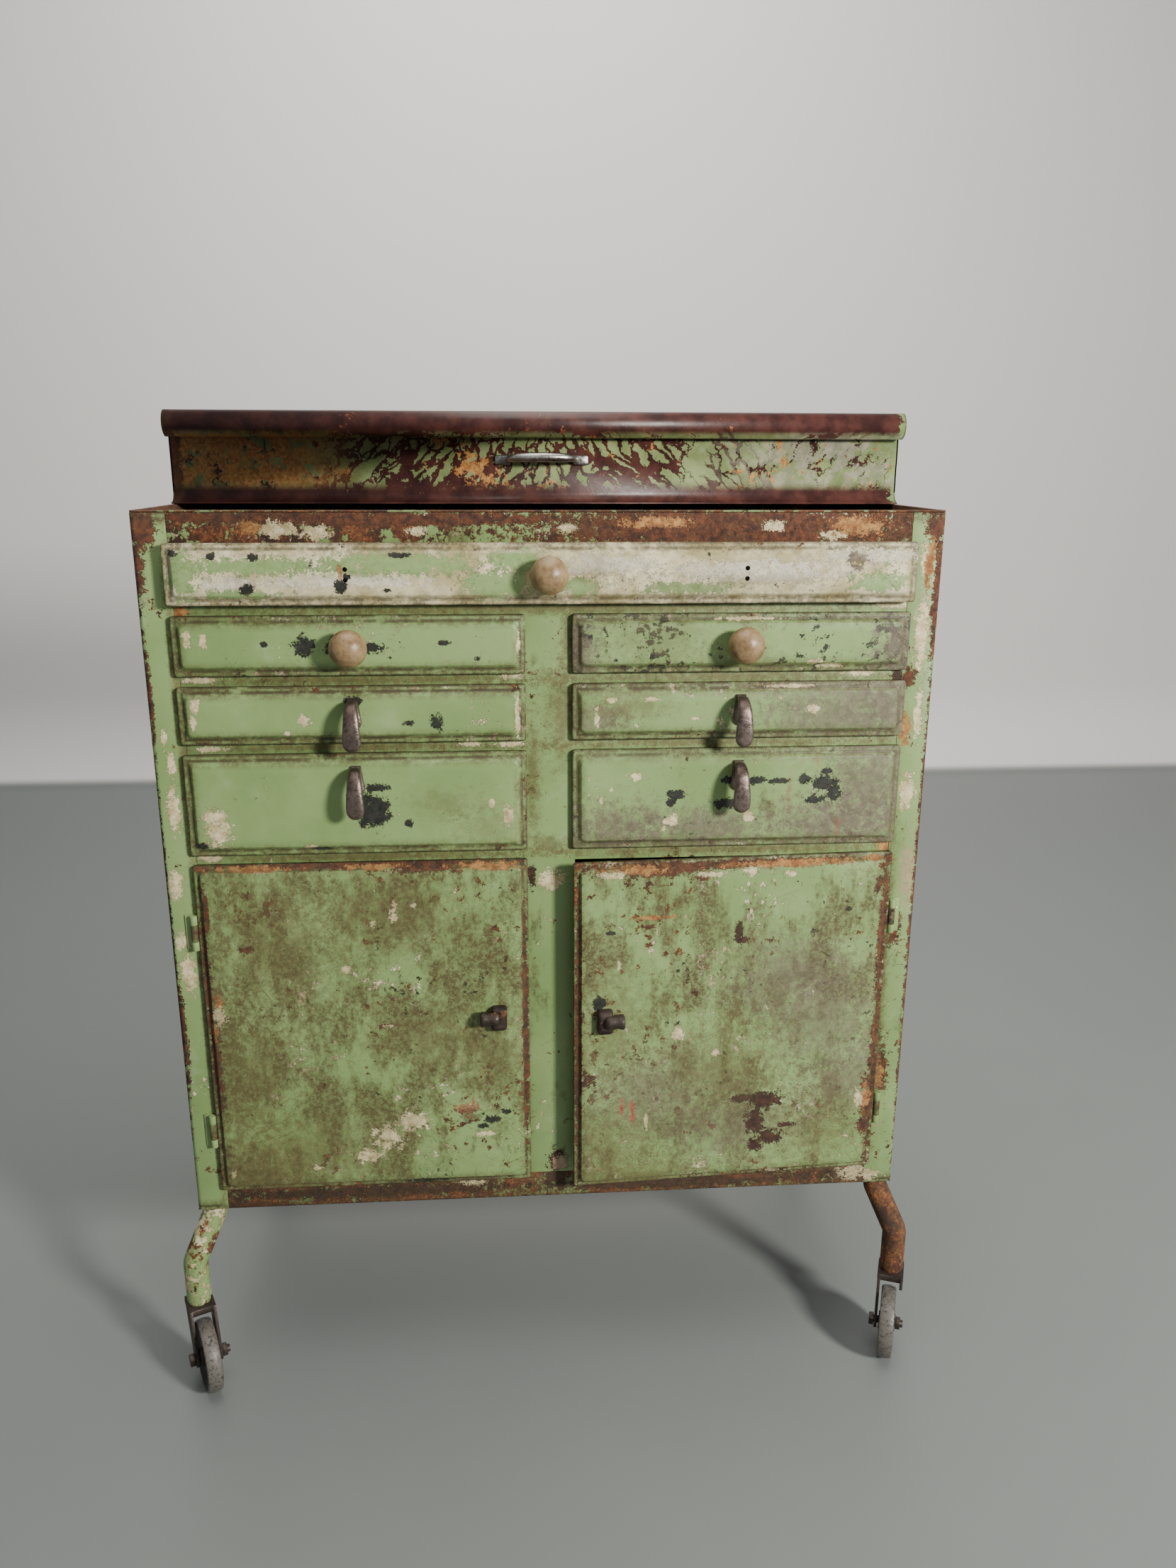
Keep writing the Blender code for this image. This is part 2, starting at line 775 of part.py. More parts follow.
def make_pull(name, x, row):
    """Cast finger pull: a pad on the drawer, and a tongue that hangs in front of it."""
    face = field_face() - GAP
    top = row[1] - FRONT_MARGIN - FRONT_BEVEL - PULL_BELOW_BEVEL
    pad_width, pad_depth, pad_height = PULL_PAD
    pad = []
    for step in range(13):
        angle = math.pi * (1.0 + step / 12)
        pad.append(
            (
                pad_width / 2 * math.cos(angle),
                pad_width / 2 - pad_height + pad_width / 2 * math.sin(angle),
            )
        )
    neck = PULL_NECK * pad_width / 2
    pad += [(neck, 0.0), (-neck, 0.0)]
    mesh = plate_mesh(pad, pad_depth)
    mesh.transform(facing_front(x, face - pad_depth / 2, top))
    pull = finish_object(name, mesh, "pull_metal")

    thick = PULL_THICKNESS / 2
    points = [(0.0, -PULL_REACH * out, -PULL_LENGTH * down) for out, down, _ in PULL_ROUTE]
    tongue = tube_mesh(points, thick, [scale for _, _, scale in PULL_ROUTE], resolution=3)
    widen = Matrix.Diagonal((PULL_WIDTH / PULL_THICKNESS, 1.0, 1.0, 1.0))
    place = Matrix.Translation((x, face, top)) @ widen
    shape = bmesh.new()
    add_mesh(shape, tongue, place)
    join(pull, shape)
    smooth(pull)
    return pull


def make_drawer(name, x_low, x_high, row, grip, ajar=0.0):
    """One drawer: its box, its pressed front and its knob or pull."""
    middle = (x_low + x_high) / 2
    slide = pivot(f"{name}_slide", (middle, FRONT, (row[0] + row[1]) / 2))
    box = make_drawer_box(f"{name}_box", x_low, x_high, row)
    low = (x_low - OVERLAY, row[0])
    high = (x_high + OVERLAY, row[1])
    front = pressed_front(f"{name}_front", low, high, FRONT_BEVEL, DRAWER_SHEET)
    if grip == "knob":
        handle = make_knob(f"{name}_knob", middle, (row[0] + row[1]) / 2)
    else:
        handle = make_pull(f"{name}_pull", middle, row)
    for obj in (box, front, handle):
        hang(obj, slide)
    slide.location.y -= ajar
    return front


def drill_old_screw_holes(front, row):
    """Empty holes of the two pulls that the wide drawer has lost."""
    holes = bmesh.new()
    middle = (row[0] + row[1]) / 2
    for side in (-1, 1):
        x = side * (OPENING_IN + OPENING_OUT) / 2
        for step in (-0.5, 0.5):
            z = middle + step * SCREW_PITCH
            start = (x, field_face() - SHEET, z)
            end = (x, field_face() + FIELD_RISE, z)
            add_rod(holes, start, end, SCREW_HOLE / 2, steps=12)
    cut(front, holes)


def make_drawers(rows):
    wide = make_drawer(
        "wide_drawer", -OPENING_OUT, OPENING_OUT, rows[0], "knob", WIDE_DRAWER_AJAR
    )
    drill_old_screw_holes(wide, rows[0])
    for label, low, high in (
        ("left", -OPENING_OUT, -OPENING_IN),
        ("right", OPENING_IN, OPENING_OUT),
    ):
        for index, row in enumerate(rows[1:4], start=1):
            grip = "knob" if index == 1 else "pull"
            make_drawer(f"{label}_drawer_{index}", low, high, row, grip)


# ---------------------------------------------------------------- doors


def hinge_heights(row):
    return (row[0] + HINGE_INSET, row[1] - HINGE_INSET)


def make_door(name, side, row):
    """Pressed door with the moving knuckles of its two hinges on its outer edge."""
    across = sorted((side * COLUMN_IN, side * COLUMN_OUT))
    low = (across[0], row[0])
    high = (across[1], row[1])
    door = pressed_front(name, low, high, DOOR_BEVEL, DRAWER_SHEET)
    knuckles = bmesh.new()
    bores = bmesh.new()
    half = HINGE_LENGTH / 4 - GAP
    for z in hinge_heights(row):
        x = side * HINGE_X
        add_rod(knuckles, (x, HINGE_Y, z - half), (x, HINGE_Y, z + half), BARREL_RADIUS, 16)
        tab = sorted((x, side * (COLUMN_OUT - DRAWER_SHEET / 2)))
        add_block(
            knuckles,
            (tab[0], HINGE_Y - HINGE_TAB_LAP, z - half),
            (tab[1], HINGE_Y + DRAWER_SHEET, z + half),
        )
        bore = HINGE_PIN / 2 + GAP
        add_rod(bores, (x, HINGE_Y, z - 2 * half), (x, HINGE_Y, z + 2 * half), bore, 16)
    x, z = latch_place(side, row)
    hole = LATCH_SPINDLE / 2 + GAP
    add_rod(bores, (x, field_face() - SHEET, z), (x, FRONT, z), hole)
    join(door, knuckles)
    cut(door, bores)
    return door


def make_door_hinge(name, side, z):
    """Fixed half of a butt hinge: leaf on the stile, two end knuckles and the pin."""
    x = side * HINGE_X
    half = HINGE_LENGTH / 2
    knuckle = HINGE_LENGTH / 4
    leaf_front = FRONT - GAP - DRAWER_SHEET
    leaf = sorted((x + side * (BARREL_RADIUS + GAP), x + side * (BARREL_RADIUS + HINGE_LEAF)))
    hinge = block_part(
        name,
        "iron",
        ((leaf[0], leaf_front, z - half), (leaf[1], FRONT - GAP, z + half)),
    )
    rest = bmesh.new()
    add_rod(rest, (x, HINGE_Y, z - half), (x, HINGE_Y, z + half), HINGE_PIN / 2, 16)
    for low, high in ((z - half, z - knuckle), (z + knuckle, z + half)):
        add_rod(rest, (x, HINGE_Y, low), (x, HINGE_Y, high), BARREL_RADIUS, 16)
        tab = sorted((x, x + side * (BARREL_RADIUS + 2 * GAP)))
        add_block(rest, (tab[0], leaf_front, low), (tab[1], FRONT - GAP, high))
    join(hinge, rest)
    return hinge


def latch_place(side, row):
    return side * (COLUMN_IN + LATCH_INSET), (row[0] + row[1]) / 2 + LATCH_ABOVE_MIDDLE


def make_latch(name, side, row):
    """Turn catch: block and nub outside, spindle through the door, tongue inside."""
    x, z = latch_place(side, row)
    face = field_face() - GAP
    width, depth, height = LATCH_BLOCK
    latch = block_part(
        name,
        "iron",
        (
            (x - width / 2, face - depth, z - height / 2),
            (x + width / 2, face, z + height / 2),
        ),
    )
    rounding = latch.modifiers.new("rounding", "BEVEL")
    rounding.width = LATCH_ROUNDING
    rounding.segments = 2
    rest = bmesh.new()
    nub_y = face - depth + LATCH_NUB_SINK
    nub_z = z + LATCH_NUB_RAISE
    nub_end = x + side * LATCH_NUB_REACH
    add_rod(rest, (x, nub_y, nub_z), (nub_end, nub_y, nub_z), LATCH_NUB_DIAMETER / 2)
    behind = FRONT + RETURN_DEPTH + 2 * GAP
    add_rod(rest, (x, face - GAP, z), (x, behind + GAP, z), LATCH_SPINDLE / 2)
    tongue_width, tongue_depth, tongue_length = LATCH_TONGUE
    add_block(
        rest,
        (x - tongue_width / 2, behind, z - tongue_width / 2),
        (x + tongue_width / 2, behind + tongue_depth, z + tongue_length),
    )
    join(latch, rest)
    smooth(latch)
    return latch


def make_doors(row):
    for label, side in (("left", -1), ("right", 1)):
        hinge = pivot(f"{label}_door_hinge", (side * HINGE_X, HINGE_Y, row[0]))
        door = make_door(f"{label}_door", side, row)
        hang(door, hinge)
        x, z = latch_place(side, row)
        turn = pivot(f"{label}_latch_turn", (x, field_face(), z), hinge)
        hang(make_latch(f"{label}_door_latch", side, row), turn)
        for place, height in zip(("lower", "upper"), hinge_heights(row)):
            make_door_hinge(f"{label}_hinge_{place}", side, height)
        if side > 0:
            hinge.rotation_euler.z = DOOR_AJAR


# ---------------------------------------------------------------- hood


def hood_section():
    """Cross section of the hood from its front flare over the nose to its back edge."""
    bottom = RIM + LID_CLEARANCE
    top = bottom + LID_HEIGHT
    points = []
    for step in range(BEND_STEPS + 1):
        angle = math.pi / 2 * step / BEND_STEPS
        y = LID_FRONT - LID_FLARE + LID_FLARE * math.sin(angle)
        points.append((y, bottom + LID_FLARE * (1 - math.cos(angle))))
    radius = LID_NOSE_DIAMETER / 2
    centre_y = LID_FRONT - LID_NOSE_REACH + radius
    centre_z = top - radius
    start = math.acos((LID_FRONT - centre_y) / radius)
    sweep = 2 * math.pi - start - math.pi / 2
    steps = 3 * BEND_STEPS
    for step in range(steps + 1):
        angle = -start - sweep * step / steps
        points.append((centre_y + radius * math.cos(angle), centre_z + radius * math.sin(angle)))
    points.append((BACK, top))
    points.append((BACK, bottom))
    return points


def knuckle_spans():
    """Ranges across the width of the hood hinge's knuckles, from one end to the other."""
    pitch = LID_HINGE_LENGTH / LID_KNUCKLES
    low = -LID_HINGE_LENGTH / 2
    return [(low + i * pitch, low + (i + 1) * pitch) for i in range(LID_KNUCKLES)]


def make_hood():
    outline = list(reversed(hood_section()))
    width = (-LID_HALF_WIDTH, LID_HALF_WIDTH)
    hood = bent_sheet("lid_hood", "hood_enamel", outline, section, *width)
    knuckles = bmesh.new()
    for x in (-LID_HALF_WIDTH, LID_HALF_WIDTH - SHEET):
        face = knuckles.faces.new([knuckles.verts.new((x, y, z)) for y, z in outline])
        grown = bmesh.ops.extrude_face_region(knuckles, geom=[face])["geom"]
        moved = [item for item in grown if isinstance(item, bmesh.types.BMVert)]
        bmesh.ops.translate(knuckles, verts=moved, vec=(SHEET, 0.0, 0.0))
    bmesh.ops.recalc_face_normals(knuckles, faces=knuckles.faces)
    bores = bmesh.new()
    for low, high in knuckle_spans()[1::2]:
        low += GAP
        high -= GAP
        start, end = (low, LID_HINGE_Y, LID_HINGE_Z), (high, LID_HINGE_Y, LID_HINGE_Z)
        add_rod(knuckles, start, end, BARREL_RADIUS, 16)
        add_block(
            knuckles,
            (low, BACK - SHEET / 2, LID_HINGE_Z),
            (high, LID_HINGE_Y, LID_HINGE_Z + BARREL_RADIUS - GAP),
        )
        start, end = (low - GAP, LID_HINGE_Y, LID_HINGE_Z), (high + GAP, LID_HINGE_Y, LID_HINGE_Z)
        add_rod(bores, start, end, HINGE_PIN / 2 + GAP, 16)
    join(hood, knuckles)
    cut(hood, bores)
    smooth(hood, 30.0)
    return hood


def make_lid_hinge():
    """Fixed half of the hood's long hinge: leaf behind the body, knuckles and pin."""
    half = LID_HINGE_LENGTH / 2
    inner = BACK + GAP
    leaf_top = LID_HINGE_Z - BARREL_RADIUS - GAP
    hinge = block_part(
        "lid_hinge",
        "iron",
        (
            (-half, inner, leaf_top - LID_LEAF_HEIGHT),
            (half, inner + DRAWER_SHEET, leaf_top),
        ),
    )
    rest = bmesh.new()
    pin = (-half, LID_HINGE_Y, LID_HINGE_Z), (half, LID_HINGE_Y, LID_HINGE_Z)
    add_rod(rest, *pin, HINGE_PIN / 2, 16)
    for low, high in knuckle_spans()[0::2]:
        start, end = (low, LID_HINGE_Y, LID_HINGE_Z), (high, LID_HINGE_Y, LID_HINGE_Z)
        add_rod(rest, start, end, BARREL_RADIUS, 16)
        add_block(rest, (low, inner, leaf_top - GAP), (high, LID_HINGE_Y, LID_HINGE_Z))
    join(hinge, rest)
    return hinge


def make_bow_handle():
    """Bow handle with two flat feet on the hood's front."""
    z = RIM + HANDLE_HEIGHT
    face = LID_FRONT - GAP
    width, depth, height = HANDLE_FOOT
    feet = []
    for side in (-1, 1):
        x = side * HANDLE_SPACING / 2
        low = (x - width / 2, face - depth, z - height / 2)
        feet.append((low, (x + width / 2, face, z + height / 2)))
    handle = block_part("lid_handle", "plated_steel", *feet[:1])
    inside = HANDLE_SPACING / 2 - width / 2 + HANDLE_LAP
    points, scales = [], []
    steps = 14
    for step in range(steps + 1):
        angle = math.pi * step / steps
        reach = math.sin(angle) ** HANDLE_SQUARENESS
        x = -inside * math.cos(angle)
        out = HANDLE_SINK + (HANDLE_REACH - HANDLE_RADIUS) * reach
        points.append((x, face - out, z + HANDLE_LIFT * reach))
        scales.append(HANDLE_TAPER + (1 - HANDLE_TAPER) * math.sin(angle))
    bow = bmesh.new()
    add_mesh(bow, tube_mesh(points, HANDLE_RADIUS, scales))
    add_block(bow, *feet[1])
    join(handle, bow)
    smooth(handle)
    return handle


def make_lid():
    axis = pivot("lid_axis", (0.0, LID_HINGE_Y, LID_HINGE_Z))
    for obj in (make_hood(), make_bow_handle()):
        hang(obj, axis)
    make_lid_hinge()


# ---------------------------------------------------------------- legs and casters


def leg_places():
    """Where the four legs meet the body: front left, front right, back right, back left."""
    x = HALF_WIDTH - LEG_INSET
    y = BACK - LEG_INSET
    return ((-x, -y), (x, -y), (x, y), (-x, y))


def make_leg(name, x, y):
    """Bent round bar that splays outwards, with a tenon into the body and a stem bore."""
    away = Vector((math.copysign(LEG_SPLAY, x), math.copysign(LEG_SPLAY, y), 0.0))
    top = Vector((x, y, FLOOR_OF_BODY - GAP))
    start = top - Vector((0.0, 0.0, LEG_STRAIGHT))
    knee = Vector((x, y, LEG_KNEE_HEIGHT)) + away
    end = Vector((x, y, LEG_END_HEIGHT)) + away
    route = rounded_path([top, start, knee, end], LEG_BEND_RADIUS)
    leg = finish_object(name, tube_mesh(route, LEG_DIAMETER / 2, resolution=5), "leg_paint")
    tenon = bmesh.new()
    tip = top + Vector((0.0, 0.0, TENON_LENGTH))
    add_rod(tenon, top - Vector((0.0, 0.0, GAP)), tip, TENON_DIAMETER / 2)
    join(leg, tenon)
    bore = bmesh.new()
    radius = STEM_DIAMETER / 2 + GAP
    depth = Vector((0.0, 0.0, STEM_LENGTH + 2 * GAP))
    add_rod(bore, end - depth, end + depth, radius)
    cut(leg, bore)
    smooth(leg)
    return end


def arm_outline():
    """Side view of a fork arm: wide at the crown, round at the axle."""
    eye = FORK_EYE / 2
    outline = [(CROWN_BACK, CROWN_TOP - GAP), (-CROWN_FRONT, CROWN_TOP - GAP)]
    for step in range(9):
        angle = math.pi * (1.0 + step / 8)
        outline.append(
            (-CASTER_TRAIL + eye * math.cos(angle), WHEEL_RADIUS + eye * math.sin(angle))
        )
    return outline


def make_fork(name, broken):
    """Caster fork: crown, two arms and the stem; one arm may be snapped off short."""
    crown_bottom = CROWN_TOP - CROWN_THICKNESS
    fork = block_part(
        name,
        "iron",
        (
            (-FORK_HALF, -CROWN_FRONT, crown_bottom),
            (FORK_HALF, CROWN_BACK, CROWN_TOP),
        ),
    )
    rounding = fork.modifiers.new("rounding", "BEVEL")
    rounding.width = FORK_ROUNDING
    rounding.segments = 2
    rest = bmesh.new()
    arm_turn = Matrix.Rotation(math.pi / 2, 4, "Z") @ Matrix.Rotation(math.pi / 2, 4, "X")
    for side in (-1, 1):
        middle = side * (FORK_HALF - FORK_ARM / 2 - GAP / 2)
        arm = plate_mesh(arm_outline(), FORK_ARM - GAP)
        add_mesh(rest, arm, Matrix.Translation((middle, 0.0, 0.0)) @ arm_turn)
    stem_top = CROWN_TOP + STEM_LENGTH
    add_rod(rest, (0.0, 0.0, CROWN_TOP - GAP), (0.0, 0.0, stem_top), STEM_DIAMETER / 2)
    join(fork, rest)
    away = bmesh.new()
    reach = FORK_HALF + FORK_ARM
    bore = AXLE_DIAMETER / 2 + GAP
    axle_y = -CASTER_TRAIL
    add_rod(away, (-reach, axle_y, WHEEL_RADIUS), (reach, axle_y, WHEEL_RADIUS), bore)
    if broken:
        stub = crown_bottom - BROKEN_ARM_STUB
        add_block(away, (0.001, -2 * WHEEL_RADIUS, 0.0), (reach, WHEEL_RADIUS, stub))
        tilt = Matrix.Translation((0.0, -CROWN_FRONT, stub)) @ Matrix.Rotation(BREAK_TILT, 4, "X")
        notch = blocks(((0.002, -0.004, -0.010), (reach, 0.010, 0.003)))
        notch.transform(tilt)
        add_mesh(away, mesh_from(notch))
    cut(fork, away)
    return fork


def make_wheel(name):
    """Caster wheel with a crowned tread, dished sides and a bored hub."""
    half = WHEEL_WIDTH / 2
    hub = WHEEL_HUB / 2
    bore = AXLE_DIAMETER / 2 + GAP
    outline = [
        (bore, hub),
        (HUB_RADIUS, hub),
        (HUB_RADIUS + HUB_SHOULDER, WHEEL_TREAD[0][1] * half),
    ]
    outline += [(WHEEL_RADIUS * share, half * across) for share, across in WHEEL_TREAD]
    outline += [(radius, -z) for radius, z in reversed(outline[:-1])]
    mesh = turned_mesh(outline, closed=True, steps=28)
    turn = Matrix.Rotation(math.pi / 2, 4, "Y")
    mesh.transform(Matrix.Translation((0.0, -CASTER_TRAIL, WHEEL_RADIUS)) @ turn)
    wheel = finish_object(name, mesh, "wheel_rubber")
    smooth(wheel)
    return wheel


def make_axle(name, nut_at):
    """Axle bolt: shank, hexagon head on one side and nut on the other."""
    y = -CASTER_TRAIL
    z = WHEEL_RADIUS
    head = FORK_HALF + GAP
    shape = bmesh.new()
    add_rod(shape, (-head - GAP, y, z), (nut_at + AXLE_HEAD_LENGTH + AXLE_TIP, y, z), AXLE_DIAMETER / 2)
    axle = finish_object(name, mesh_from(shape), "plated_steel")
    ends = bmesh.new()
    add_rod(ends, (-head - AXLE_HEAD_LENGTH, y, z), (-head, y, z), AXLE_HEAD / 2, 6)
    add_rod(ends, (nut_at, y, z), (nut_at + AXLE_HEAD_LENGTH, y, z), AXLE_HEAD / 2, 6)
    join(axle, ends)
    return axle


def make_legs_and_casters():
    labels = ("front_left", "front_right", "back_right", "back_left")
    turns = (
        FRONT_LEFT_SWIVEL,
        FRONT_RIGHT_SWIVEL,
        math.pi + FRONT_LEFT_SWIVEL,
        math.pi + FRONT_RIGHT_SWIVEL,
    )
    for label, place, turn in zip(labels, leg_places(), turns):
        end = make_leg(f"leg_{label}", *place)
        broken = label == "front_right"
        nut_at = WHEEL_HUB / 2 + GAP if broken else FORK_HALF + GAP
        swivel = pivot(f"caster_{label}_swivel", (0.0, 0.0, 0.0))
        spin = pivot(f"caster_{label}_spin", (0.0, -CASTER_TRAIL, WHEEL_RADIUS), swivel)
        hang(make_fork(f"fork_{label}", broken), swivel)
        hang(make_axle(f"axle_{label}", nut_at), swivel)
        hang(make_wheel(f"wheel_{label}"), spin)
        swivel.location = (end.x, end.y, 0.0)
        swivel.rotation_euler.z = turn


def build():
    rows = row_spans()
    make_side_panel("side_panel_left", -1)
    make_side_panel("side_panel_right", 1)
    make_back_panel()
    make_bottom_pan()
    make_top_tray()
    make_top_rail()
    make_front_frame(rows)
    make_centre_partition(rows)
    for label, side in (("left", -1), ("right", 1)):
        make_runner_rack(f"runner_rack_{label}", side, rows)
        make_cupboard_ceiling(f"cupboard_ceiling_{label}", side, rows)
    make_drawers(rows)
    make_doors(rows[4])
    make_lid()
    make_legs_and_casters()
    bpy.context.view_layer.update()


build()
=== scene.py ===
"""Looks of a worn sheet steel instrument cabinet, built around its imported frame.

Metres, +Z up, front towards -Y, origin on the floor under the cabinet's middle.
"""

import json
import logging
import math
from dataclasses import dataclass, field
from enum import Enum
from typing import Iterable, Sequence

import bmesh
import bpy
import numpy as np
from mathutils import Matrix, Vector

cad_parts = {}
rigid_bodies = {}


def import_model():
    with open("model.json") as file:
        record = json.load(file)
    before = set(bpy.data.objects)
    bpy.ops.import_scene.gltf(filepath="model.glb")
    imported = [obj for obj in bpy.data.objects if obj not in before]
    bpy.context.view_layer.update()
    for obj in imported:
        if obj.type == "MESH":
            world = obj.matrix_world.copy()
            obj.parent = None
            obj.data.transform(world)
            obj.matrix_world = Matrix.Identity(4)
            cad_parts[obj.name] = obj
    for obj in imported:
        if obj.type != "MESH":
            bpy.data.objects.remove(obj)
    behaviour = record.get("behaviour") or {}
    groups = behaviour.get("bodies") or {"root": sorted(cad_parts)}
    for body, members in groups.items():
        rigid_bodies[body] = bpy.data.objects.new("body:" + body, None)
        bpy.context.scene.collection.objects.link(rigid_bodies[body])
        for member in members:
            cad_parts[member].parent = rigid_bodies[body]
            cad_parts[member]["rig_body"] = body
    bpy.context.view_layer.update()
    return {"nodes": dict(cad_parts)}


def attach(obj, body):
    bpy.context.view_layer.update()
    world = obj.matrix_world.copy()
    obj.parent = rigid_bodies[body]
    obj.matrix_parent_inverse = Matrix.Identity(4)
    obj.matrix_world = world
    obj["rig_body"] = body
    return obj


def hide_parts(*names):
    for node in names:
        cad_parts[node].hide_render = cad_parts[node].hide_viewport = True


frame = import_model()
LOG = logging.getLogger("cabinet")

Point = tuple[float, float, float]
Flat = tuple[float, float]
Socket = bpy.types.NodeSocket
Shape = bmesh.types.BMesh
Piece = bpy.types.Object
Material = bpy.types.Material
Tree = bpy.types.NodeTree
Node = bpy.types.Node
Ring = list[Point]

SHEET = 0.0015
THIN_SHEET = 0.0012
GAP = 0.0003
HALF_WIDTH = 0.375
FRONT = -0.200
BACK = 0.200
BODY_LOW = 0.196
RIM = 0.920
FACE_Y = -0.2098
HINGE_AXIS = (0.3498, -0.2045)
DOOR_AJAR = math.radians(3.0)
ANYWHERE = 10.0


# ------------------------------------------------------------------ node wiring


class Wiring:
    """Adds nodes to one tree and joins them with short calls."""

    def __init__(self, tree: Tree) -> None:
        """Keeps the tree that the nodes go in."""
        self.tree = tree

    def node(self, kind: str, **settings: object) -> Node:
        """Adds a node.

        Args:
            kind: the node's type name.
            settings: attributes to set on it.

        Returns:
            The node.
        """
        made = self.tree.nodes.new(kind)
        for key, value in settings.items():
            setattr(made, key, value)
        return made

    def feed(self, socket: Socket, value: object) -> None:
        """Links a socket to another, or sets its value.

        Args:
            socket: the input.
            value: an output socket or a plain value.
        """
        if isinstance(value, bpy.types.NodeSocket):
            self.tree.links.new(value, socket)
        elif socket.type == "RGBA" and len(value) == 3:
            socket.default_value = (*value, 1.0)
        else:
            socket.default_value = value

    def math(self, operation: str, *values: object, clamp: bool = False) -> Socket:
        """A Math node's result.

        Args:
            operation: the node's operation.
            values: its inputs.
            clamp: whether the result stays between 0 and 1.

        Returns:
            The output socket.
        """
        made = self.node("ShaderNodeMath", operation=operation, use_clamp=clamp)
        for socket, value in zip(made.inputs, values):
            self.feed(socket, value)
        return made.outputs[0]

    def vector(self, operation: str, *values: object) -> Socket:
        """A Vector Math node's result.

        Args:
            operation: the node's operation; SCALE takes its factor second.
            values: its inputs.

        Returns:
            The vector output, or the value output of LENGTH.
        """
        made = self.node("ShaderNodeVectorMath", operation=operation)
        sockets = [made.inputs[0], made.inputs[3 if operation == "SCALE" else 1]]
        for socket, value in zip(sockets, values):
            self.feed(socket, value)
        return made.outputs[1 if operation == "LENGTH" else 0]

    def times(self, first: object, second: object, clamp: bool = False) -> Socket:
        """A product."""
        return self.math("MULTIPLY", first, second, clamp=clamp)

    def plus(self, first: object, second: object) -> Socket:
        """A sum."""
        return self.math("ADD", first, second)

    def minus(self, first: object, second: object) -> Socket:
        """A difference."""
        return self.math("SUBTRACT", first, second)

    def scaled(self, value: object, factor: object, more: object) -> Socket:
        """A value times a factor, plus something more."""
        return self.math("MULTIPLY_ADD", value, factor, more)

    def most(self, first: object, second: object) -> Socket:
        """The larger of two values."""
        return self.math("MAXIMUM", first, second)

    def least(self, first: object, second: object) -> Socket:
        """The smaller of two values."""
        return self.math("MINIMUM", first, second)

    def split(self, vector: Socket) -> Sequence[Socket]:
        """The x, y and z of a vector."""
        made = self.node("ShaderNodeSeparateXYZ")
        self.feed(made.inputs[0], vector)
        return made.outputs

    def joined(self, *parts: object) -> Socket:
        """A vector made of x, y and z."""
        made = self.node("ShaderNodeCombineXYZ")
        for socket, part in zip(made.inputs, parts):
            self.feed(socket, part)
        return made.outputs[0]

    def _mix(self, kind: str, place: int, factor: object, *pair: object) -> Node:
        """A Mix node of one kind, whose pair of inputs starts at a place."""
        made = self.node("ShaderNodeMix", data_type=kind)
        for index, value in zip((0, place, place + 1), (factor, *pair)):
            self.feed(made.inputs[index], value)
        return made

    def blend(self, factor: object, first: object, second: object) -> Socket:
        """A colour with a share of a second one mixed in."""
        return self._mix("RGBA", 6, factor, first, second).outputs[2]

    def lerp(self, factor: object, first: object, second: object) -> Socket:
        """A value with a share of a second one mixed in."""
        return self._mix("FLOAT", 2, factor, first, second).outputs[0]

    def fed(self, kind: str, settings: dict | None = None, **inputs: object) -> Node:
        """A node with its settings, and its inputs by name, with _ for a space."""
        made = self.node(kind, **(settings or {}))
        for name, value in inputs.items():
            self.feed(made.inputs[name.replace("_", " ")], value)
        return made

    def noise(
        self,
        position: object,
        scale: object,
        detail: float = 4.0,
        roughness: float = 0.55,
        distortion: float = 0.0,
    ) -> Socket:
        """Noise between about 0.2 and 0.8.

        Args:
            position: where it is read.
            scale: features per metre.
            detail: layers of finer noise.
            roughness: strength of the finer layers.
            distortion: how much it swirls.

        Returns:
            The noise value.
        """
        made = self.fed(
            "ShaderNodeTexNoise", Vector=position, Scale=scale, Detail=detail, Roughness=roughness,
            Distortion=distortion
        )
        return made.outputs[0]

    def rise(self, value: object, start: object, end: object) -> Socket:
        """A smooth step.

        Args:
            value: what is stepped.
            start: where the result is 0.
            end: where the result is 1.

        Returns:
            The step's value.
        """
        made = self.node("ShaderNodeMapRange", interpolation_type="SMOOTHSTEP")
        for index, given in enumerate((value, start, end)):
            self.feed(made.inputs[index], given)
        return made.outputs[0]

    def fall(self, value: object, start: object, end: object) -> Socket:
        """A smooth step from 1 down to 0."""
        return self.minus(1.0, self.rise(value, start, end))

    def group(self, tree: Tree, **inputs: object) -> Node:
        """Places a node group.

        Args:
            tree: the group.
            inputs: values by input name, with _ for a space.

        Returns:
            The group's node.
        """
        kind = self.tree.bl_idname.replace("Tree", "Group")
        return self.fed(kind, {"node_tree": tree}, **inputs)


SOCKETS = {
    "value": "NodeSocketFloat",
    "whole": "NodeSocketInt",
    "vector": "NodeSocketVector",
    "colour": "NodeSocketColor",
    "shape": "NodeSocketGeometry",
    "material": "NodeSocketMaterial",
}


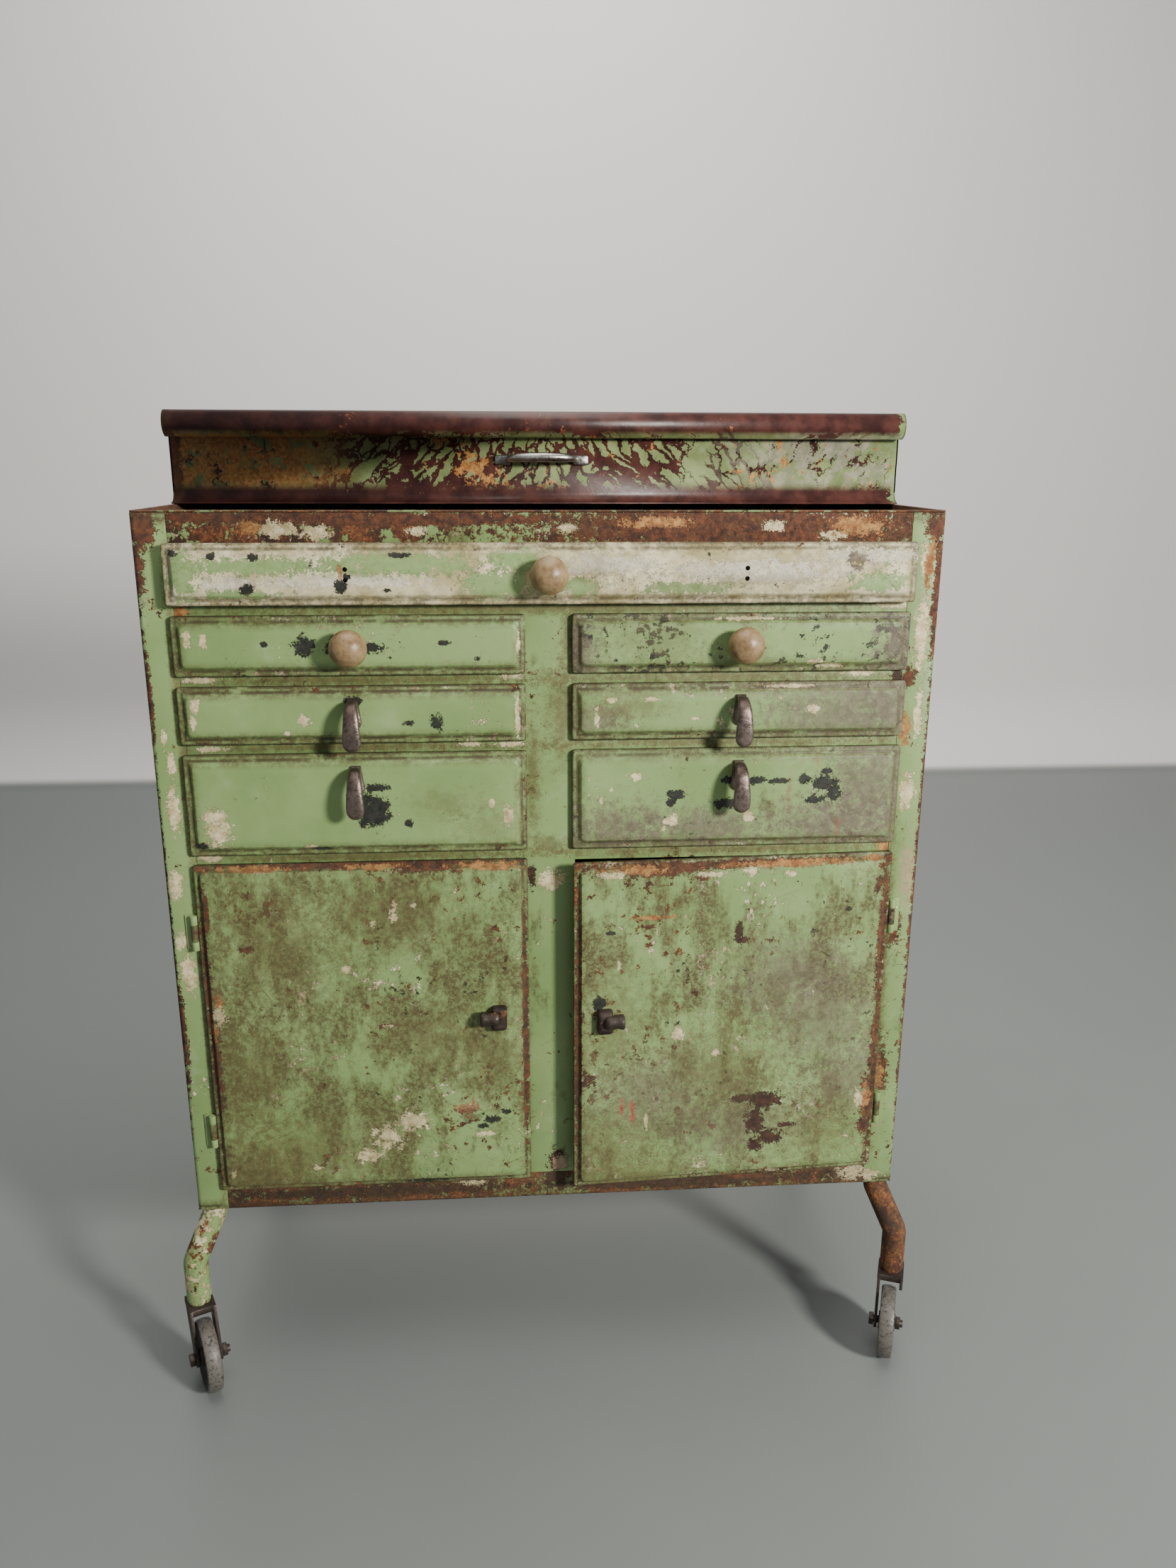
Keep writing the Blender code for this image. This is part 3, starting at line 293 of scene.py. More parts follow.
def new_group(name: str, kind: str, inputs: str, outputs: str) -> tuple[Wiring, dict, dict]:
    """Makes an empty node group with named inputs and outputs.

    Args:
        name: the group's name.
        kind: ShaderNodeTree or GeometryNodeTree.
        inputs: names with spaces between, each with a colon and its kind if not a value.
        outputs: the same for its outputs.

    Returns:
        Its wiring, its input sockets and its output sockets, by name.
    """
    tree = bpy.data.node_groups.new(name, kind)
    for direction, wanted in (("INPUT", inputs), ("OUTPUT", outputs)):
        for entry in wanted.split():
            label, _, what = entry.partition(":")
            socket_type = SOCKETS[what or "value"]
            tree.interface.new_socket(label, in_out=direction, socket_type=socket_type)
    wiring = Wiring(tree)
    given = wiring.node("NodeGroupInput").outputs
    taken = wiring.node("NodeGroupOutput").inputs
    return wiring, {s.name: s for s in given[:-1]}, {s.name: s for s in taken[:-1]}


# ------------------------------------------------------------------ shared effects


class Effects:
    """The shader node groups that the finishes share, each built once."""

    def __init__(self) -> None:
        """Builds every group."""
        self.border = self._border()
        self.fleck = self._fleck()
        self.spot = self._spot()
        self.scratches = self._scratches()
        self.rust = self._rust()
        self.enamel = self._enamel()

    def _border(self) -> Tree:
        """How far a point is from the nearest side of an upright rectangle."""
        w, given, taken = new_group(
            "Border distance", "ShaderNodeTree", "Position:vector Low:vector High:vector", "Distance"
        )
        below = w.split(w.vector("SUBTRACT", given["Position"], given["Low"]))
        above = w.split(w.vector("SUBTRACT", given["High"], given["Position"]))
        across, upright = w.least(below[0], above[0]), w.least(below[2], above[2])
        w.feed(taken["Distance"], w.least(across, upright))
        return w.tree

    def _fleck(self) -> Tree:
        """Sharp-edged flakes that cover more or less of a surface."""
        w, given, taken = new_group(
            "Flakes", "ShaderNodeTree", "Position:vector Scale Cover Seed", "Mask Halo"
        )
        place = w.vector("ADD", given["Position"], w.vector("SCALE", (3.1, 5.7, 4.3), given["Seed"]))
        coarse = w.noise(place, given["Scale"], 6.0, 0.68)
        region = w.noise(place, w.times(given["Scale"], 0.16), 3.0)
        fine = w.noise(place, w.times(given["Scale"], 6.0), 3.0, 0.7)
        mixed = w.scaled(w.minus(region, 0.5), 0.55, coarse)
        mixed = w.scaled(w.minus(fine, 0.5), 0.18, mixed)
        line = w.minus(0.765, w.times(given["Cover"], 0.56))
        w.feed(taken["Mask"], w.rise(mixed, w.minus(line, 0.006), w.plus(line, 0.006)))
        w.feed(taken["Halo"], w.rise(mixed, w.minus(line, 0.045), line))
        return w.tree

    def _spot(self) -> Tree:
        """One frayed patch at a place, with its sharp and its soft mask."""
        w, given, taken = new_group(
            "Patch", "ShaderNodeTree",
            "Position:vector Centre:vector Radius:vector Fray", "Mask Soft",
        )
        offset = w.vector("SUBTRACT", given["Position"], given["Centre"])
        distance = w.vector("LENGTH", w.vector("DIVIDE", offset, given["Radius"]))
        broad = w.noise(given["Position"], 130.0, 4.0, 0.66)
        ragged = w.noise(given["Position"], 560.0, 4.0, 0.74)
        both = w.scaled(ragged, 0.75, w.times(broad, 0.80))
        shifted = w.times(w.minus(both, 0.775), given["Fray"])
        frayed = w.plus(distance, shifted)
        w.feed(taken["Mask"], w.fall(frayed, 0.96, 1.04))
        w.feed(taken["Soft"], w.fall(frayed, 0.1, 1.6))
        return w.tree

    def _scratches(self) -> Tree:
        """Straight scratches that cross each other, in some places only."""
        w, given, taken = new_group("Scratches", "ShaderNodeTree", "Position:vector Seed", "Mask")
        place = w.vector("ADD", given["Position"], w.vector("SCALE", (2.3, 1.7, 3.9), given["Seed"]))
        most: object = 0.0
        stretches = ((0.4, 28, 620), (1.1, 40, 800), (2.2, 24, 560), (2.8, 46, 900))
        for angle, along, across in stretches:
            upright = {"rotation_type": "Y_AXIS"}
            turned = w.fed("ShaderNodeVectorRotate", upright, Vector=place, Angle=angle)
            drawn = w.vector("MULTIPLY", turned.outputs[0], (along, 20.0, across))
            most = w.most(most, w.rise(w.noise(drawn, 1.0, 2.0, 0.5), 0.64, 0.69))
        where = w.rise(w.noise(place, 11.0, 3.0), 0.40, 0.62)
        w.feed(taken["Mask"], w.times(most, where))
        return w.tree

    def _rust(self) -> Tree:
        """Colours and crust of rust."""
        w, given, taken = new_group(
            "Rust", "ShaderNodeTree", "Position:vector", "Colour:colour Height"
        )
        broad = w.noise(given["Position"], 48.0, 6.0, 0.70)
        fine = w.noise(given["Position"], 300.0, 5.0, 0.75)
        dark = w.blend(w.rise(broad, 0.40, 0.62), (0.040, 0.018, 0.012), (0.130, 0.042, 0.018))
        lit = w.times(w.rise(fine, 0.46, 0.66), w.rise(broad, 0.36, 0.60))
        orange = w.blend(lit, dark, (0.36, 0.140, 0.042))
        w.feed(taken["Colour"], orange)
        w.feed(taken["Height"], w.plus(w.times(broad, 0.6), fine))
        return w.tree

    def _enamel(self) -> Tree:
        """Green enamel over cream primer over rusting steel, with grime, scratches and painted shade
        along its rim and bevel foot.
        """
        w, given, taken = new_group(
            "Worn enamel", "ShaderNodeTree",
            "Position:vector Distance Cream Bare Rust Grime Scratch Edge Seed",
            "Colour:colour Roughness Height Dirt",
        )
        position, seed = given["Position"], given["Seed"]
        moved = w.vector("ADD", position, w.vector("SCALE", (1.9, 2.9, 3.7), seed))
        broad = w.noise(moved, 7.0, 4.0, 0.6)
        mid = w.noise(moved, 28.0, 5.0, 0.6)
        speckle = w.noise(moved, 420.0, 3.0, 0.7)
        green = w.blend(w.rise(broad, 0.35, 0.66), (0.205, 0.318, 0.110), (0.260, 0.385, 0.148))
        green = w.blend(w.times(w.rise(speckle, 0.60, 0.74), 0.35), green, (0.10, 0.15, 0.07))
        green = w.blend(w.times(w.rise(mid, 0.58, 0.75), 0.35), green, (0.36, 0.46, 0.26))

        worn = w.fall(given["Distance"], 0.0, 0.012)
        worn = w.times(worn, given["Edge"])

        def flakes(scale: float, cover: Socket, gain: float, shift: float) -> Node:
            """Flakes that are denser near the panel's edges."""
            more = w.scaled(worn, gain, cover)
            place = w.plus(seed, shift)
            return w.group(self.fleck, Position=position, Scale=scale, Cover=more, Seed=place)

        cream = flakes(128.0, given["Cream"], 0.24, 0.0)
        primer = w.blend(w.rise(mid, 0.35, 0.65), (0.44, 0.38, 0.19), (0.76, 0.70, 0.46))
        rim = w.times(cream.outputs["Halo"], 0.45)
        colour = w.blend(rim, green, (0.11, 0.12, 0.05))
        colour = w.blend(cream.outputs["Mask"], colour, primer)

        smear = w.noise(w.vector("MULTIPLY", moved, (1.0, 1.0, 0.50)), 20.0, 7.0, 0.74)
        line = w.minus(0.74, w.times(given["Grime"], 0.44))
        dirt = w.rise(smear, line, w.plus(line, 0.15))
        near = w.fall(given["Distance"], 0.003, 0.016)
        near = w.times(near, w.rise(w.noise(moved, 60.0, 4.0, 0.7), 0.28, 0.58))
        near = w.times(near, w.times(given["Edge"], 1.7), clamp=True)
        grit = w.rise(w.noise(moved, 250.0, 5.0, 0.78), 0.42, 0.56)
        dirt = w.times(w.most(dirt, near), w.scaled(grit, 0.55, 0.38))
        olive = w.blend(w.noise(moved, 90.0, 4.0, 0.6), (0.045, 0.038, 0.012), (0.135, 0.105, 0.036))
        colour = w.blend(dirt, colour, olive)
        # Painted shade with grime: dark brown lines along the panel's rim and at the foot of its
        # bevel, where the gap and the crease lie in shade.
        foot = w.math("ABSOLUTE", w.minus(given["Distance"], 0.0052))
        crease_shade_and_grime = w.fall(w.least(foot, given["Distance"]), 0.0006, 0.0022)
        crease_shade_and_grime = w.times(crease_shade_and_grime, w.rise(w.noise(moved, 46.0, 4.0, 0.7), 0.36, 0.54))
        crease_shade_and_grime = w.times(crease_shade_and_grime, w.times(given["Edge"], 1.4), clamp=True)
        colour = w.blend(crease_shade_and_grime, colour, (0.040, 0.028, 0.012))
        w.feed(taken["Dirt"], dirt)

        lines = w.group(self.scratches, Position=position, Seed=seed).outputs[0]
        lines = w.times(lines, given["Scratch"])
        colour = w.blend(lines, colour, (0.085, 0.070, 0.028))

        bare = flakes(120.0, given["Bare"], 0.10, 3.0)
        black = w.blend(mid, (0.012, 0.016, 0.012), (0.035, 0.036, 0.026))
        colour = w.blend(bare.outputs["Mask"], colour, black)

        rusty = flakes(96.0, given["Rust"], 0.26, 6.0)
        crust = w.group(self.rust, Position=moved)
        stain = w.times(rusty.outputs["Halo"], 0.50)
        colour = w.blend(stain, colour, (0.22, 0.095, 0.030))
        colour = w.blend(rusty.outputs["Mask"], colour, crust.outputs["Colour"])
        w.feed(taken["Colour"], colour)

        rough = w.lerp(dirt, w.scaled(mid, 0.25, 0.30), 0.62)
        rough = w.lerp(cream.outputs["Mask"], rough, 0.70)
        rough = w.lerp(rusty.outputs["Mask"], rough, 0.88)
        w.feed(taken["Roughness"], rough)

        height = w.times(broad, 1.2)
        height = w.minus(height, w.times(cream.outputs["Mask"], 0.22))
        height = w.minus(height, w.times(bare.outputs["Mask"], 0.30))
        height = w.minus(height, w.times(lines, 0.05))
        pitted = w.times(crust.outputs["Height"], rusty.outputs["Mask"])
        height = w.plus(height, w.times(pitted, 0.35))
        height = w.plus(height, w.times(speckle, 0.05))
        w.feed(taken["Height"], height)
        return w.tree


# ------------------------------------------------------------------ finishes


class WearAndShade(Enum):
    """The look of a patch, mostly of wear and in the tray of painted shade: two colours, a roughness
    and a height.
    """

    CREAM = ((0.46, 0.38, 0.18), (0.78, 0.70, 0.44), 0.70, -0.22)
    PALE = ((0.52, 0.48, 0.36), (0.74, 0.70, 0.56), 0.62, -0.15)
    BLACK = ((0.010, 0.013, 0.010), (0.032, 0.034, 0.026), 0.50, -0.30)
    BROWN = ((0.024, 0.011, 0.008), (0.070, 0.028, 0.016), 0.80, -0.15)
    ORANGE = ((0.22, 0.08, 0.025), (0.50, 0.27, 0.09), 0.85, 0.05)
    RUST = ((0.040, 0.018, 0.013), (0.150, 0.052, 0.021), 0.88, 0.10)
    OLIVE = ((0.085, 0.078, 0.024), (0.150, 0.130, 0.048), 0.65, 0.0)
    SMOKE = ((0.105, 0.088, 0.058), (0.180, 0.150, 0.105), 0.60, 0.0)
    TAN = ((0.34, 0.22, 0.14), (0.46, 0.34, 0.23), 0.65, -0.10)
    RED = ((0.26, 0.05, 0.03), (0.34, 0.11, 0.07), 0.60, 0.0)
    GREEN = ((0.232, 0.352, 0.128), (0.290, 0.420, 0.172), 0.40, 0.1)


@dataclass(frozen=True)
class Spot:
    """A patch of wear at a place on the cabinet's front; the one on the tray is painted shade.

    Radii are half sizes in millimetres. A soft patch fades out, as a smear does.
    """

    wear: WearAndShade
    x: float
    z: float
    wide: float
    tall: float
    fray: float = 4.0
    strength: float = 1.0
    soft: bool = False
    y: float = 0.0
    deep: float = ANYWHERE


@dataclass(frozen=True)
class Enamel:
    """Worn green enamel on one panel, given by its rectangle and how worn it is."""

    name: str
    low: Flat
    high: Flat
    seed: float
    cream: float = 0.16
    bare: float = 0.04
    rust: float = 0.06
    grime: float = 0.25
    scratch: float = 0.0
    edge: float = 0.5
    spots: tuple[Spot, ...] = ()

    def material(self, effects: Effects) -> Material:
        """Builds the finish.

        Args:
            effects: the shared node groups.

        Returns:
            The material.
        """
        made, w, shader, position = blank_material(self.name)
        border = w.group(
            effects.border,
            Position=position,
            Low=(self.low[0], 0.0, self.low[1]),
            High=(self.high[0], 0.0, self.high[1]),
        )
        worn = ("Cream", "Bare", "Rust", "Grime", "Scratch", "Edge", "Seed")
        amounts = {name: getattr(self, name.lower()) for name in worn}
        distance = border.outputs[0]
        coat = w.group(effects.enamel, Position=position, Distance=distance, **amounts)
        colour, rough, height = add_spots(w, effects, position, coat.outputs, self.spots)
        wash = w.times(coat.outputs["Dirt"], 0.42)
        colour = w.blend(wash, colour, (0.075, 0.060, 0.026))
        dress_shader(w, shader, colour, rough, height, 0.0022)
        return made


def blank_material(name: str) -> tuple[Material, Wiring, Node, Socket]:
    """Makes a material with a lone shader.

    Args:
        name: the material's name.

    Returns:
        The material, its wiring, its shader and the Object coordinates.
    """
    made = bpy.data.materials.new(name)
    made.use_nodes = True
    w = Wiring(made.node_tree)
    shader = made.node_tree.nodes["Principled BSDF"]
    return made, w, shader, w.node("ShaderNodeTexCoord").outputs["Object"]


def add_spots(
    w: Wiring, effects: Effects, position: Socket, coat: Sequence[Socket], spots: Iterable[Spot],
) -> tuple[Socket, Socket, Socket]:
    """Lays patches of wear over a coat.

    Args:
        w: the material's wiring.
        effects: the shared node groups.
        position: Object coordinates.
        coat: colour, roughness and height below the patches.
        spots: the patches.

    Returns:
        Colour, roughness and height with the patches.
    """
    colour, rough, height = coat[0], coat[1], coat[2]
    grain = w.noise(position, 120.0, 6.0, 0.74)
    tones: dict[WearAndShade, Socket] = {}
    for spot in spots:
        first, second, dull, lift = spot.wear.value
        if spot.wear not in tones:
            tones[spot.wear] = w.blend(w.rise(grain, 0.36, 0.64), first, second)
        patch = w.group(
            effects.spot,
            Position=position,
            Centre=(spot.x, spot.y, spot.z),
            Radius=(spot.wide / 1000, spot.deep, spot.tall / 1000),
            Fray=spot.fray,
        )
        mask = w.times(patch.outputs["Soft" if spot.soft else "Mask"], spot.strength)
        colour = w.blend(mask, colour, tones[spot.wear])
        rough = w.lerp(mask, rough, dull)
        if not spot.soft:
            height = w.scaled(mask, lift, height)
    return colour, rough, height


def dress_shader(
    w: Wiring, shader: Node, colour: Socket, rough: Socket, height: Socket, depth: float,
) -> None:
    """Feeds a shader from its layers.

    Args:
        w: the material's wiring.
        shader: the Principled shader.
        colour: the base colour.
        rough: the roughness.
        height: the bump's height.
        depth: metres that a height of one stands for.
    """
    w.feed(shader.inputs["Base Color"], colour)
    w.feed(shader.inputs["Roughness"], rough)
    bump = w.fed("ShaderNodeBump", Distance=depth, Height=height)
    w.feed(shader.inputs["Normal"], bump.outputs[0])


@dataclass(frozen=True)
class Aged:
    """A plain material aged by stains, rust and fine scratches."""

    name: str
    dark: Point
    light: Point
    rough: Flat = (0.4, 0.7)
    metal: float = 0.0
    rust: float = 0.0
    scale: float = 30.0
    grain: float = 300.0
    bump: float = 0.0006
    rub: Point | None = None
    spots: tuple[Spot, ...] = ()

    def material(self, effects: Effects) -> Material:
        """Builds the finish.

        Args:
            effects: the shared node groups.

        Returns:
            The material.
        """
        made, w, shader, position = blank_material(self.name)
        broad = w.noise(position, self.scale, 5.0, 0.62)
        fine = w.noise(position, self.grain, 4.0, 0.68)
        both = w.scaled(fine, 0.35, w.times(broad, 0.75))
        colour = w.blend(w.rise(both, 0.38, 0.70), self.dark, self.light)
        rough = w.lerp(w.rise(both, 0.35, 0.70), self.rough[0], self.rough[1])
        height = w.scaled(fine, 0.6, broad)
        metal: object = self.metal
        if self.rust:
            flakes = w.group(effects.fleck, Position=position, Scale=70.0, Cover=self.rust, Seed=2.0)
            crust = w.group(effects.rust, Position=position)
            colour = w.blend(flakes.outputs["Mask"], colour, crust.outputs["Colour"])
            rough = w.lerp(flakes.outputs["Mask"], rough, 0.9)
            height = w.scaled(flakes.outputs["Mask"], 0.4, height)
            metal = w.lerp(flakes.outputs["Mask"], self.metal, 0.0)
        if self.rub:
            edge = w.node("ShaderNodeAttribute", attribute_name="edge_wear").outputs["Fac"]
            rubbed = w.times(edge, w.rise(fine, 0.30, 0.55))
            colour = w.blend(rubbed, colour, self.rub)
            rough = w.lerp(rubbed, rough, 0.38)
        layers = add_spots(w, effects, position, (colour, rough, height), self.spots)
        dress_shader(w, shader, *layers, self.bump)
        w.feed(shader.inputs["Metallic"], metal)
        return made


@dataclass(frozen=True)
class HoodLacquer:
    """Dark maroon lacquer that has crackled away from the green enamel under it."""

    name: str = "hood_lacquer"
    low: float = RIM + 0.002
    high: float = 1.0115

    def material(self, effects: Effects) -> Material:
        """Builds the finish.

        Args:
            effects: the shared node groups.

        Returns:
            The material.
        """
        made, w, shader, position = blank_material(self.name)
        broad = w.noise(position, 9.0, 4.0, 0.6)
        mid = w.noise(position, 45.0, 5.0, 0.62)
        fine = w.noise(position, 330.0, 4.0, 0.7)
        maroon = w.blend(w.rise(mid, 0.35, 0.68), (0.034, 0.011, 0.010), (0.088, 0.028, 0.021))
        maroon = w.blend(w.times(w.rise(fine, 0.60, 0.80), 0.4), maroon, (0.16, 0.07, 0.05))
        across, _, upward = w.split(position)

        lean = w.times(w.math("SINE", w.times(across, 12.0)), 0.9)
        slide = w.joined(w.times(lean, w.minus(upward, 0.965)))
        drawn = w.vector("MULTIPLY", w.vector("ADD", position, slide), (1.0, 0.7, 0.60))
        warp = w.fed("ShaderNodeTexNoise", Vector=position, Scale=34.0, Detail=5.0, Roughness=0.62)
        drawn = w.vector("ADD", drawn, w.vector("SCALE", warp.outputs["Color"], 0.034))
        edges = {"feature": "DISTANCE_TO_EDGE"}
        cells = w.fed("ShaderNodeTexVoronoi", edges, Vector=drawn, Scale=74.0)
        patchy = w.noise(position, 11.0, 3.0)
        island_size = w.scaled(patchy, -1.05, 0.60)
        island = w.rise(cells.outputs["Distance"], island_size, w.plus(island_size, 0.03))
        height_share = w.math("DIVIDE", w.minus(upward, self.low), self.high - self.low)
        above = w.rise(height_share, 0.12, 0.26)
        below = w.fall(height_share, 0.70, 0.80)
        band = w.times(above, below)
        island = w.times(island, band)
        green = w.blend(w.rise(mid, 0.35, 0.65), (0.16, 0.22, 0.075), (0.27, 0.35, 0.15))
        green = w.blend(w.times(w.rise(fine, 0.50, 0.75), 0.5), green, (0.34, 0.24, 0.09))
        colour = w.blend(island, maroon, green)

        left = w.fall(across, -0.27, -0.17)
        amber = w.group(effects.fleck, Position=position, Scale=52.0, Cover=0.60, Seed=9.0)
        amber_mask = w.times(w.times(amber.outputs["Mask"], left), band)
        ochre = w.blend(w.rise(fine, 0.35, 0.65), (0.33, 0.125, 0.030), (0.56, 0.31, 0.10))
        colour = w.blend(amber_mask, colour, ochre)
        right = w.rise(across, 0.14, 0.28)
        pale = w.group(effects.fleck, Position=drawn, Scale=60.0, Cover=0.58, Seed=4.0)
        pale_mask = w.times(w.times(pale.outputs["Mask"], right), band)
        sage = w.blend(w.rise(mid, 0.35, 0.65), (0.22, 0.24, 0.15), (0.40, 0.38, 0.28))
        colour = w.blend(w.times(pale_mask, 0.9), colour, sage)
        drips = w.group(effects.fleck, Position=position, Scale=90.0, Cover=0.25, Seed=12.0)
        colour = w.blend(w.times(drips.outputs["Mask"], band), colour, ochre)
        specks = w.group(effects.fleck, Position=position, Scale=85.0, Cover=0.12, Seed=15.0)
        crust = w.group(effects.rust, Position=position)
        colour = w.blend(specks.outputs["Mask"], colour, crust.outputs["Colour"])

        shown = w.most(w.most(island, amber_mask), pale_mask)
        rough = w.lerp(shown, w.scaled(mid, 0.30, 0.24), 0.62)
        height = w.minus(w.times(broad, 0.9), w.times(shown, 0.30))
        height = w.scaled(fine, 0.08, height)
        spots = (
            Spot(WearAndShade.RUST, -0.372, 0.965, 9, 60, 2.5, 0.8),
            Spot(WearAndShade.GREEN, 0.373, 0.965, 7, 60, 3.0, 0.7),
        )
        layers = add_spots(w, effects, position, (colour, rough, height), spots)
        dress_shader(w, shader, *layers, 0.0016)
        return made


Finish = Enamel | Aged | HoodLacquer


# ------------------------------------------------------------------ meshes


def side_name(side: int) -> str:
    """The name of the left (-1) or the right (1) side."""
    return "left" if side < 0 else "right"


def quarter(steps: int) -> list[Flat]:
    """The cosines and sines of the angles through a quarter turn."""
    angles = [math.pi / 2 * step / steps for step in range(steps + 1)]
    return [(math.cos(angle), math.sin(angle)) for angle in angles]


def facing(x: float, y: float, z: float) -> Matrix:
    """Places a shape at a point, with its Z turned towards the front."""
    return Matrix.Translation((x, y, z)) @ Matrix.Rotation(math.pi / 2, 4, "X")


def finished(name: str, shape: Shape, material: Material, angle: float = 32.0) -> Piece:
    """Turns a shape into a smooth-shaded piece.

    Args:
        name: the piece's name.
        shape: its mesh, which is used up.
        material: its finish.
        angle: the sharpest fold, in degrees, that is still shaded smooth.

    Returns:
        The piece.
    """
    mesh = bpy.data.meshes.new(name)
    shape.to_mesh(mesh)
    shape.free()
    mesh.materials.append(material)
    piece = bpy.data.objects.new(name, mesh)
    bpy.context.scene.collection.objects.link(piece)
    mesh.shade_smooth()
    mesh.set_sharp_from_angle(angle=math.radians(angle))
    return piece


def tidy(shape: Shape, distance: float = 1e-6) -> None:
    """Merges doubled points and turns every face outwards."""
    bmesh.ops.remove_doubles(shape, verts=shape.verts, dist=distance)
    bmesh.ops.recalc_face_normals(shape, faces=shape.faces)


def loft(shape: Shape, rings: Sequence[Ring], caps: bool = True) -> None:
    """Joins rings of equal length with quads.

    Args:
        shape: the mesh they go in.
        rings: the rings, in order.
        caps: whether the first and last ring are closed.
    """
    made = [[shape.verts.new(point) for point in ring] for ring in rings]
    for near, far in zip(made, made[1:]):
        for index, vert in enumerate(near):
            after = (index + 1) % len(near)
            shape.faces.new((vert, near[after], far[after], far[index]))
    if caps:
        shape.faces.new(made[0])
        shape.faces.new(made[-1])


def revolve(profile: Sequence[Flat], place: Matrix, steps: int = 56) -> Shape:
    """Spins (radius, height) points about Z.

    Args:
        profile: the outline from pole to pole, or closed on itself by the caller.
        place: where the turned shape goes.
        steps: how many sides it has.

    Returns:
        The shape.
    """
    shape = bmesh.new()
    rings = []
    for radius, height in profile:
        ring = []
        for step in range(steps):
            angle = 2 * math.pi * step / steps
            ring.append((radius * math.cos(angle), radius * math.sin(angle), height))
        rings.append(ring)
    loft(shape, rings, caps=False)
    tidy(shape)
    shape.transform(place)
    return shape


def rounded_rectangle(low: Flat, high: Flat, radius: float, steps: int = 8) -> list[Flat]:
    """Points of a rectangle with round corners.

    Args:
        low: its low corner.
        high: its high corner.
        radius: the corners' radius.
        steps: segments of each corner.

    Returns:
        The points, counter-clockwise.
    """
    points = []
    centres = (
        (high[0] - radius, high[1] - radius),
        (low[0] + radius, high[1] - radius),
        (low[0] + radius, low[1] + radius),
        (high[0] - radius, low[1] + radius),
    )
    for quarter, (x, y) in enumerate(centres):
        for step in range(steps + 1):
            angle = math.pi / 2 * (quarter + step / steps)
            points.append((x + radius * math.cos(angle), y + radius * math.sin(angle)))
    return points


def fold(points: Sequence[Flat], radius: float, steps: int = 8) -> list[Flat]:
    """A line with its inner corners rounded, as a bent sheet's section is.

    Args:
        points: the line's corners.
        radius: the bends' radius.
        steps: segments of each bend.

    Returns:
        The line's points.
    """
    path = [points[0]]
    for before, corner, after in zip(points, points[1:], points[2:]):
        here = Vector(corner)
        back = (Vector(before) - here).normalized()
        ahead = (Vector(after) - here).normalized()
        half = math.acos(max(-1.0, min(1.0, back.dot(ahead)))) / 2
        centre = here + (back + ahead).normalized() * radius / math.sin(half)
        start = here + back * radius / math.tan(half)
        end = here + ahead * radius / math.tan(half)
        for step in range(steps + 1):
            spoke = start.lerp(end, step / steps) - centre
            path.append(tuple(centre + spoke.normalized() * radius))
    path.append(points[-1])
    return path


def solidify(piece: Piece, sheet: float, bevel: float = 0.0) -> None:
    """Gives an open surface its sheet thickness, inwards, with softened cut edges.

    Args:
        piece: the surface.
        sheet: its thickness.
        bevel: width of the softened edges.
    """
    shell = piece.modifiers.new("sheet", "SOLIDIFY")
    shell.thickness = sheet
    shell.offset = -1.0
    shell.use_even_offset = True
    if bevel:
        soft = piece.modifiers.new("edges", "BEVEL")
        soft.width = bevel
        soft.segments = 2
        soft.limit_method = "ANGLE"
        soft.angle_limit = math.radians(50)
        soft.harden_normals = False


